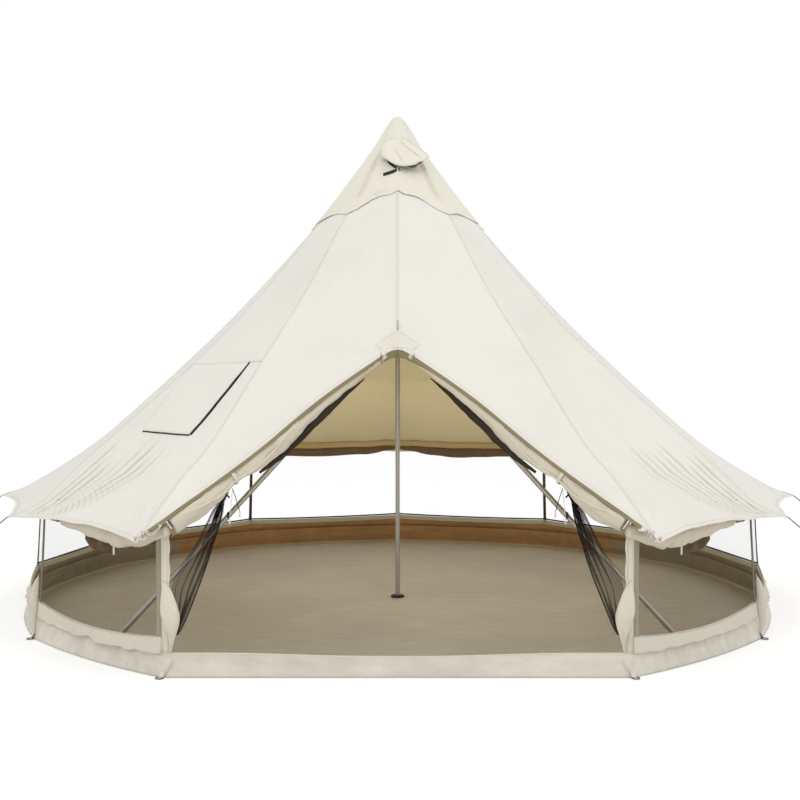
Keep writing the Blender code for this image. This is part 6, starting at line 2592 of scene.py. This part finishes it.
@dataclass
class DoorHalf:
    """One half of the door: its canvas rolled along the hem, its facing, net roll, ties, post and net."""

    skin: Skin
    word: str
    radii: tuple = (0.012, 0.018, 0.024, 0.031, 0.038, 0.045, 0.049, 0.047, 0.038, 0.056, 0.062, 0.046)
    net_span: tuple = (0.145, 0.61)
    net_radius: float = 0.020
    start: float = 0.045
    end: float = 0.93
    flat: float = 0.86
    tie_share: float = 0.69
    inward: tuple = (-0.25, 0.62, -0.75)
    post_top: float = 0.735
    fold_low: tuple = ((1.106, -2.060, 0.702), (1.172, -1.994, 0.674), (1.231, -1.935, 0.643),
                       (1.313, -1.853, 0.618), (1.380, -1.786, 0.609), (1.468, -1.698, 0.612),
                       (1.538, -1.628, 0.626), (1.631, -1.535, 0.643), (1.773, -1.393, 0.663))
    leaf_outer: tuple = ((1.143, 0.478), (1.150, 0.400), (1.148, 0.330), (1.131, 0.270), (1.112, 0.200),
                         (1.107, 0.130))
    leaf_inner: tuple = ((1.141, 0.480), (1.097, 0.433), (1.062, 0.345), (1.058, 0.280), (1.086, 0.190),
                         (1.104, 0.126))
    far_leaf: tuple = ((0.000, 0.356), (0.036, 0.300), (0.046, 0.235), (0.044, 0.150), (0.030, 0.070),
                       (0.004, 0.030))
    net_attached: tuple = ((0.828, -1.915, 0.910), (0.899, -1.935, 0.836), (0.943, -1.945, 0.760),
                           (0.988, -1.955, 0.676), (1.043, -1.962, 0.587), (1.112, -1.970, 0.457),
                           (1.106, -1.978, 0.330), (1.100, -1.983, 0.205))
    net_free: tuple = ((0.838, -1.900, 0.895), (0.866, -1.890, 0.813), (0.888, -1.875, 0.714),
                       (0.934, -1.865, 0.580), (0.968, -1.875, 0.495), (1.020, -1.900, 0.365),
                       (1.066, -1.940, 0.245), (1.085, -1.963, 0.205))
    net_folds: int = 4
    net_depth: float = 0.025

    def __post_init__(self) -> None:
        """Take the side's sign from its word."""
        self.side = SIDES[self.word]

    def here(self, point: Sequence[float]) -> Vector:
        """A place on the right half, moved to this one."""
        return mirrored(point, self.side)

    def curve(self, points: Sequence[Sequence[float]], steps: int = 8) -> Run:
        """Smooth run through places given for the right half."""
        return Run(smooth([self.here(point) for point in points], steps))

    def station(self, share: float) -> tuple[Vector, Vector, Vector, Vector, float]:
        """Middle of the roll at a share of the hem, its frame and its radius.

        Args:
            share: share along the hem.

        Returns:
            The middle, the three unit directions and the radius.
        """
        hem = HEMS[self.side]
        place = clamp((share - self.start) / (self.end - self.start)) * (len(self.radii) - 1)
        low = min(int(place), len(self.radii) - 2)
        radius = mix(self.radii[low], self.radii[low + 1], ease(place - low, 0.0, 1.0))
        way = hem.along(clamp(share, 0.006, 0.994))
        off = square(self.here(self.inward).normalized(), way)
        centre = hem.at(share) + off * (radius + 0.003)
        for _ in range(6):
            centre = self.skin.pushed(centre, radius + 0.0035)
        return centre, way, off, way.cross(off).normalized(), radius

    def build(self) -> None:
        """Build the half without its net."""
        self.roll()
        self.net_roll()
        self.facing()
        self.fittings()
        self.post()
        self.side_leaf()
        self.corner_fold()
        self.drape()

    def roll(self) -> None:
        """The rolled canvas with folds that wind round it, and its edge."""
        rings, edge = [], []
        for k in range(121):
            share = mix(self.start, self.end, k / 120)
            centre, _, off, over, radius = self.station(share)
            tie = hump(share, self.tie_share, 0.035)
            ring = []
            for m in range(34):
                turn = 2 * math.pi * m / 34
                fold = 0.055 * math.cos(turn * 3 + self.side * share * 16.0)
                fold += 0.03 * math.cos(turn * 7 - share * 30.0 * self.side)
                fold += 0.10 * tie * (math.cos(turn * 9 + share * 8) - 0.4)
                spot = centre + (off * math.cos(turn) + over * math.sin(turn)) * radius
                fold += 0.22 * noise.noise(spot * 10.0) + 0.10 * noise.noise(spot * 28.0)
                reach = radius * (1.0 + fold - 0.06)
                ring.append(centre + off * math.cos(turn) * reach + over * math.sin(turn) * reach * self.flat)
            rings.append(ring)
            lap = math.radians(150) + 1.1 * math.sin(share * 7.0)
            edge.append(centre + (off * math.cos(lap)
                                  - over * self.side * math.sin(lap) * self.flat) * radius)
        last = rings[-1]
        middle, back = sum(last, Vector()) / len(last), HEMS[self.side].along(self.end) * 0.006
        for shrink in (0.75, 0.4, 0.1):
            rings.append([middle.lerp(point, shrink) - back * (1 - shrink) for point in last])
        roll = swept(f"door_roll_{self.word}_cloth", rings, [Finish.DOOR])
        settle(roll, "tent", "rolled_canvas", f"door_roll_{self.word}")
        lip = tube(f"door_roll_{self.word}_edge", edge[4:-4], 0.0045, Finish.BINDING, 8)
        settle(lip, "tent", "rolled_canvas")

    def net_roll(self) -> None:
        """The dark net rolled beside the canvas."""
        run, sizes = [], []
        for k in range(61):
            share = mix(*self.net_span, k / 60)
            centre, way, _, _, radius = self.station(share)
            lean = square(self.here((-0.25, 0.10, -1.0)), way)
            wander = 0.004 * noise.noise(Vector((share * 14.0, self.side * 2.0, 0.0)))
            run.append(centre + lean * (radius + self.net_radius * 0.55 + wander))
            taper = min(0.12 + 2.6 * k / 60, 1.0, 0.35 + 2.0 * (1.0 - k / 60))
            lumps = 1.0 + 0.14 * noise.noise(Vector((k * 0.31, self.side, 3.0)))
            sizes.append(self.net_radius * taper * lumps)
        net = tube(f"door_net_roll_{self.word}", run, sizes, Finish.NET_ROLL, 14)
        settle(net, "tent", "net")

    def facing(self) -> None:
        """Olive facing that shows below the hem."""
        columns = []
        for k in range(81):
            share = k / 80
            centre, way, _, _, radius = self.station(share)
            depth = mix(0.042, 0.020, ease(share, 0.02, 0.16))
            hem = HEMS[self.side].at(share)
            column = []
            for m in range(5):
                if share < self.start * 1.2:
                    column.append(hem + self.facing_drop * depth * m / 4 - FRONT * 0.002)
                    continue
                start = (hem - centre).normalized()
                turn = Quaternion(way, depth * m / 4 / (radius + 0.006))
                if (turn @ start).z > start.z:
                    turn = turn.inverted()
                column.append(centre + (turn @ start) * max((hem - centre).length, radius + 0.006))
            columns.append(column)
        facing = grid_piece(f"door_facing_{self.word}", [list(row) for row in zip(*columns)], [Finish.FACING])
        face_up(facing, Vector((0.0, -1.0, 0.3)))
        thicken(facing, 0.0016)
        settle(facing, "tent", "canvas")

    @property
    def facing_drop(self) -> Vector:
        """Direction in which the facing hangs at the top of the door."""
        return Vector((0.0, 0.10, -1.0)).normalized()

    def band(self, share: float, width: float, finish: Finish) -> bpy.types.Object:
        """Tie round the roll.

        Args:
            share: its place along the hem.
            width: across it.
            finish: its finish.

        Returns:
            The new object.
        """
        centre, _, off, over, radius = self.station(share)
        run = []
        for k in range(30):
            turn = mix(0.35, 2 * math.pi - 0.35, k / 29)
            run.append(centre - off * math.cos(turn) * radius * 1.13
                       + over * self.side * math.sin(turn) * radius * 1.13 * self.flat)
        middle = sum(run, Vector()) / len(run)
        return strap("tie", run, [(p - middle).normalized() for p in run], width, 0.002, finish)

    def fittings(self) -> None:
        """Ties, toggles and the loose strap ends."""
        parts = [self.band(self.tie_share, 0.016, Finish.CREAM_WEB), self.band(0.945, 0.011, Finish.FACING)]
        knot = self.here((0.806, -1.948, 0.926))
        for lean, length, finish in ((0.30, 0.115, Finish.ROPE), (-0.10, 0.150, Finish.CREAM_WEB)):
            run = [knot + Vector((-lean * self.side * s * length, -0.004 + 0.010 * math.sin(s * 3.0),
                                  -s * length)) for s in (k / 14 for k in range(15))]
            parts.append(tube("tie_end", run, 0.0019, finish, 8))
            parts.append(strap("tie_stop", [run[-1] + UP * z for z in (0.004, -0.012, -0.028)],
                               [Vector((0.1 * self.side, -1.0, 0.0))] * 3, 0.008, 0.003, Finish.CREAM_WEB))
        clip = self.here((0.829, -1.925, 0.790))
        parts.append(tube("tie_clip", [clip + UP * z for z in (0.016, 0.010, -0.010, -0.016)],
                          [0.006, 0.012, 0.013, 0.006], Finish.PLASTIC, 12, 0.6))
        toggle = self.here((0.082, -1.530, 1.535))
        run = [toggle + UP * z for z in (0.013, 0.011, 0.004, 0.0, -0.004, -0.011, -0.013)]
        sizes = [0.002, 0.004, 0.0042, 0.0032, 0.0042, 0.004, 0.002]
        parts.append(tube("toggle", run, sizes, Finish.FACING, 12))
        steps = ((0, 0.003, 0), (0.006 * self.side, 0.006, 0.02), (0.0, 0.012, 0.04))
        cord = [toggle + Vector(step) for step in steps]
        parts.append(tube("toggle_cord", smooth(cord), 0.0016, Finish.ROPE, 6))
        settle(joined(f"door_fittings_{self.word}", parts), "tent", "webbing")

    def post(self) -> None:
        """Cream strip with its binding beside the door, and the twisted cloth hung on it."""
        rows = []
        for k in range(25):
            height = mix(PLAN.upstand, self.post_top, k / 24)
            corner = polar(PLAN.step * self.side, PLAN.door_post_radius, height)
            wide = 0.036 + 0.003 * math.sin(k * 1.3)
            rows.append([corner + Vector((-self.side * over, -0.002 + 0.10 * over * math.sin(k * 0.8), 0))
                         for over in (-0.001, wide * 0.5, wide)])
        strip = grid_piece("post", rows, [Finish.BINDING])
        face_up(strip, FRONT)
        thicken(strip, 0.0025)
        edge = tube("post_edge", [row[2] for row in rows], 0.006, Finish.CREAM_WEB, 8, 0.6)
        outer = self.curve([(x, -2.002, z) for x, z in self.leaf_outer])
        inner = self.curve([(x, -1.996, z) for x, z in self.leaf_inner])
        leaf = []
        for k in range(31):
            near, far = outer.at(k / 30), inner.at(k / 30)
            bulge = math.sin(math.pi * k / 30)
            deep = [-0.042 * bulge - 0.020 * bulge * math.sin(math.pi * m / 8)
                    + 0.006 * math.sin(m * 1.9 + k * 0.35) * bulge for m in range(9)]
            leaf.append([near.lerp(far, m / 8) + Vector((0.0, deep[m], 0.0)) for m in range(9)])
        twist = grid_piece("post_leaf", leaf, [Finish.BINDING])
        face_up(twist, FRONT)
        thicken(twist, PLAN.canvas)
        settle(joined(f"door_post_{self.word}", [baked(strip), edge, baked(twist)]), "tent", "canvas")

    def side_leaf(self) -> None:
        """Slack edge of the foot band that stands out beside the next corner."""
        run = Run(smooth([Vector((reach, 0.0, height)) for reach, height in self.far_leaf], 8))
        rows = []
        for k in range(31):
            reach, _, height = run.at(k / 30)
            radius = 2.268 + 0.030 * (1.0 - min(height / 0.3, 1.0))
            corner = polar(2 * PLAN.step * self.side, radius, height)
            rows.append([corner + Vector((self.side * reach * m / 6,
                                          -0.010 * math.sin(math.pi * m / 6) - 0.004, 0.0))
                         for m in range(7)])
        leaf = grid_piece(f"corner_leaf_{self.word}", rows, [Finish.WALL_OUT])
        face_up(leaf, FRONT)
        settle(thicken(leaf, 0.0022), "tent", "rolled_canvas")

    def corner_fold(self) -> None:
        """Slack canvas that hangs under the eave between the door roll and the wall roll."""
        run = self.curve(self.fold_low, 6)
        rings = []
        for k in range(101):
            share = k / 100
            low, way = run.at(share), run.along(clamp(share, 0.01, 0.99))
            over = way.cross(UP).normalized() * -self.side
            radius = mix(0.018, 0.046, math.sin(math.pi * clamp(share * 1.02)) ** 0.7)
            tuck = hump(share, 0.36, 0.020) + 0.8 * hump(share, 0.53, 0.018)
            centre = low + UP * radius * 1.25
            ring = []
            for m in range(30):
                turn = 2 * math.pi * m / 30
                spot = centre + (over * math.cos(turn) + UP * math.sin(turn)) * radius
                swell = 1.0 + 0.20 * noise.noise(spot * 11.0) + 0.09 * noise.noise(spot * 30.0) - 0.22 * tuck
                swell += 0.06 * math.cos(turn * 5 + share * 21.0 * self.side)
                tall = 1.25 if math.sin(turn) < 0 else 1.7
                ring.append(self.skin.under(centre + over * math.cos(turn) * radius * swell
                                            + UP * math.sin(turn) * radius * tall * swell, 0.004))
            rings.append(ring)
        ends = []
        for ring, way in ((rings[0], run.along(0.02) * -0.010), (rings[-1], run.along(0.98) * 0.010)):
            middle = sum(ring, Vector()) / len(ring)
            near = [middle.lerp(point, 0.7) + way * (1 - 0.7) for point in ring]
            ends.append([near, [middle.lerp(point, 0.2) + way * (1 - 0.2) for point in near]])
        fold = swept(f"corner_fold_{self.word}", [*ends[0][::-1], *rings, *ends[1]], [Finish.DOOR])
        settle(fold, "tent", "rolled_canvas")

    def drape(self) -> None:
        """Brown inner cloth that hangs behind the corner fold, with its cream strap."""
        rows = []
        out = self.here((0.5, -0.5, 0.0))
        for k in range(41):
            share = k / 40
            near = self.here((1.415, -1.645, 0.0)).lerp(self.here((1.640, -1.420, 0.0)), share)
            top = self.skin.underside(near.x, near.y) - 0.004
            foot = 0.545 + 0.045 * ease(share, 0.80, 1.0) + 0.060 * (1.0 - ease(share, 0.0, 0.12))
            rows.append([Vector((near.x, near.y, mix(top, foot, m / 6)))
                         + out * 0.014 * math.sin(share * 13.0 + m * 0.3) * (m / 6) for m in range(7)])
        cloth = grid_piece(f"corner_drape_{self.word}", rows, [Finish.WALL_IN])
        thicken(cloth, 0.0016, offset=0.0)
        settle(cloth, "tent", "rolled_canvas")
        run = [self.here((1.445, -1.680, z)) for z in (0.72, 0.66, 0.60, 0.553)]
        lash = strap(f"corner_strap_{self.word}", run, [self.here((0.7, -0.7, 0.0))] * 4, 0.016, 0.002,
                     Finish.CREAM_WEB)
        settle(lash, "tent", "webbing")

    def net(self) -> None:
        """Tied-back net gathered into folds, on its own hinged body."""
        attached, free = self.curve(self.net_attached), self.curve(self.net_free)
        steps = self.net_folds * 8
        grid = []
        for i in range(61):
            share = i / 60
            near, far = attached.at(share), free.at(share)
            across = far - near
            off = Vector((-across.y, across.x, 0.0)).normalized() * self.side
            open_up = ease(share, 0.0, 0.16)
            row = []
            for j in range(steps + 1):
                s = j / steps
                bend = max(s + 0.03 * math.sin(share * 5.0 + s * 9.0), 0.0) ** 1.7
                wave = math.sin(2 * math.pi * self.net_folds * bend + 1.4 * math.sin(share * 3.0))
                depth = min(self.net_depth, across.length * 0.30 + 0.004) * mix(0.45, 1.0, open_up)
                depth *= 0.75 + 0.5 * noise.noise(Vector((s * 3.0, share * 2.0, self.side * 2.0)))
                spread = mix(0.5, s, max(open_up, 0.35)) if share < 0.16 else s
                slack = 0.007 * noise.noise(Vector((share * 4, s, 5.5)))
                row.append(near + across * spread + off * (depth * wave + slack))
            grid.append(row)
        name = f"door_net_{self.word}"
        net = grid_piece(name + "_cloth", grid, [Finish.CURTAIN])
        face_up(net, FRONT)
        thicken(net, 0.0006, offset=0.0)
        settle(net, name, "net", name)
        hem = tube(name + "_hem", [row[-1] for row in grid[5:]], 0.0035, Finish.BLACK_WEB, 8)
        band = ring_of("tie", attached.at(0.02).lerp(free.at(0.02), 0.5), attached.at(0.1) - attached.at(0.0),
                       0.021, 0.004, Finish.BLACK_WEB, 20, 0.8)
        settle(joined(name + "_hem", [hem, band]), name, "net")


@dataclass
class Door:
    """Both halves of the door and the patch above it."""

    skin: Skin
    patch_half: float = 0.118

    def build(self) -> None:
        """Build the halves, the patch and the nets."""
        halves = [DoorHalf(self.skin, word) for word in SIDES]
        for half in halves:
            half.build()
        self.patch()
        for half in halves:
            half.net()

    def patch(self) -> None:
        """Pointed reinforcement sewn over the A-frame's head above the door."""
        grid = []
        for i in range(9):
            row = []
            for j in range(-16, 17):
                x = self.patch_half * j / 16
                top = mix(PLAN.frame_top - 0.004, 1.6175, abs(j) / 16)
                hem = 1.600 - 0.036 * min(abs(x) / 0.082, 1.0) ** 1.4 - max(abs(x) - 0.082, 0.0) * 0.70
                low = mix(hem + 0.004, top - 0.004, ease(abs(j), 9, 16))
                row.append(self.skin.in_front(x, mix(top, low, i / 8), 0.0012))
            grid.append(row)
        patch = grid_piece("door_patch", grid, [Finish.SEAM])
        face_up(patch, Vector((0.0, -1.0, 0.5)))
        thicken(patch, 0.0014, offset=0.0)
        settle(patch, "tent", "canvas")


# Poles and ropes

class Poles:
    """Tubes of the centre pole and the A-frame in their real finishes, with their rings."""

    finishes: dict = {"pole_foot": Finish.PLASTIC, "pole_top": Finish.PLASTIC, "frame_foot": Finish.RUBBER,
                      "pole_": Finish.TUBE, "frame_": Finish.TUBE}

    def build(self) -> None:
        """Give the tubes, caps and feet their finishes and add the rings on them."""
        for name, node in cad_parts.items():
            finish = next((made for start, made in self.finishes.items() if name.startswith(start)), None)
            for slot in node.material_slots if finish else ():
                slot.material = finish.material()
        rings = [ring_of("ring", UP * z, UP, 0.0158, 0.0016, Finish.RING, 32) for z in (0.955, 1.955)]
        hanger = ring_of("ring", Vector((0.0, -0.021, 1.505)), Vector((0.3, 1.0, 0.0)), 0.008, 0.0018,
                         Finish.RING, 24)
        settle(joined("pole_rings", [*rings, hanger]), "tent", "tube")


@dataclass
class GuyRopes:
    """Guy ropes from the side eave tips to their knots."""

    length: float = 0.125
    radius: float = 0.003
    fall: float = 38.0
    tab_section: tuple = ((-0.075, 0.0030), (-0.03, 0.0032), (-0.006, 0.0030), (0.0005, 0.0005),
                          (-0.006, -0.0045), (-0.03, -0.0050), (-0.060, -0.0048))

    def build(self) -> None:
        """Build the four ropes, their knots and the webbing tabs at every tip."""
        for word, angle in (("corner", 60.0), ("side", 90.0)):
            for name, side in SIDES.items():
                self.rope(f"guy_rope_{name}_{word}", angle * side)
        tabs = [self.tab(seam, step * PLAN.step * side) for (step, side), seam in SEAMS.items()
                if step < 6 or side > 0]
        settle(joined("eave_tabs", tabs), "tent", "webbing")

    def rope(self, name: str, angle: float) -> None:
        """One rope.

        Args:
            name: the rope's node.
            angle: plan angle of its corner.
        """
        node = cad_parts[name]
        steep = math.radians(self.fall)
        way = direction(angle) * math.cos(steep) - UP * math.sin(steep)
        points = [v.co for v in node.data.vertices]
        least = min(point.dot(way) for point in points)
        first = [point for point in points if point.dot(way) < least + 1e-4]
        start = sum(first, Vector()) / len(first)
        run = [start + way * self.length * k / 20 for k in range(21)]
        rope = tube(name + "_cord", run, self.radius, Finish.ROPE, 10)
        over = way.orthogonal().normalized()
        beside = way.cross(over)
        coil = [run[-1] + (over * math.cos(t) + beside * math.sin(t)) * 0.0048 + way * (0.0014 * t - 0.014)
                for t in (0.35 * m for m in range(40))]
        knot = tube(name + "_knot", coil, 0.0026, Finish.ROPE, 8)
        settle(knot, "tent", "webbing")
        settle(rope, "tent", "webbing", name)
        [tuple(point) for point in run]

    def tab(self, seam: Run, angle: float) -> bpy.types.Object:
        """Webbing tab folded round the eave tip, with its loop below.

        Args:
            seam: the seam that ends at the tip.
            angle: plan angle of the seam.

        Returns:
            The new object.
        """
        tip, down = seam.at(1.0), seam.along(0.985)
        out = down.cross(tangent(angle)).normalized()
        if out.z < 0:
            out = -out
        run = [tip + down * along + out * off for along, off in self.tab_section]
        ups = [out, out, (out + down).normalized(), down, (down - out).normalized(), -out, -out]
        return strap("tab", run, ups, 0.022, 0.0018, Finish.SEAM)


def main() -> None:
    """Build the tent's sub-assemblies in order and put them in the studio."""
    logging.basicConfig(level=logging.INFO, format="%(message)s")
    roof = RoofCanvas()
    for part in (Studio(), GuyRopes(), roof):
        part.build()
    skin = Skin(roof.sheet_object)
    for part in (ApexCap(), VentHood(), StoveOpening(), Walls(skin), Groundsheet(), Door(skin), Poles()):
        part.build()
        LOG.info("%s built", type(part).__name__)


if __name__ == "__main__":
    main()
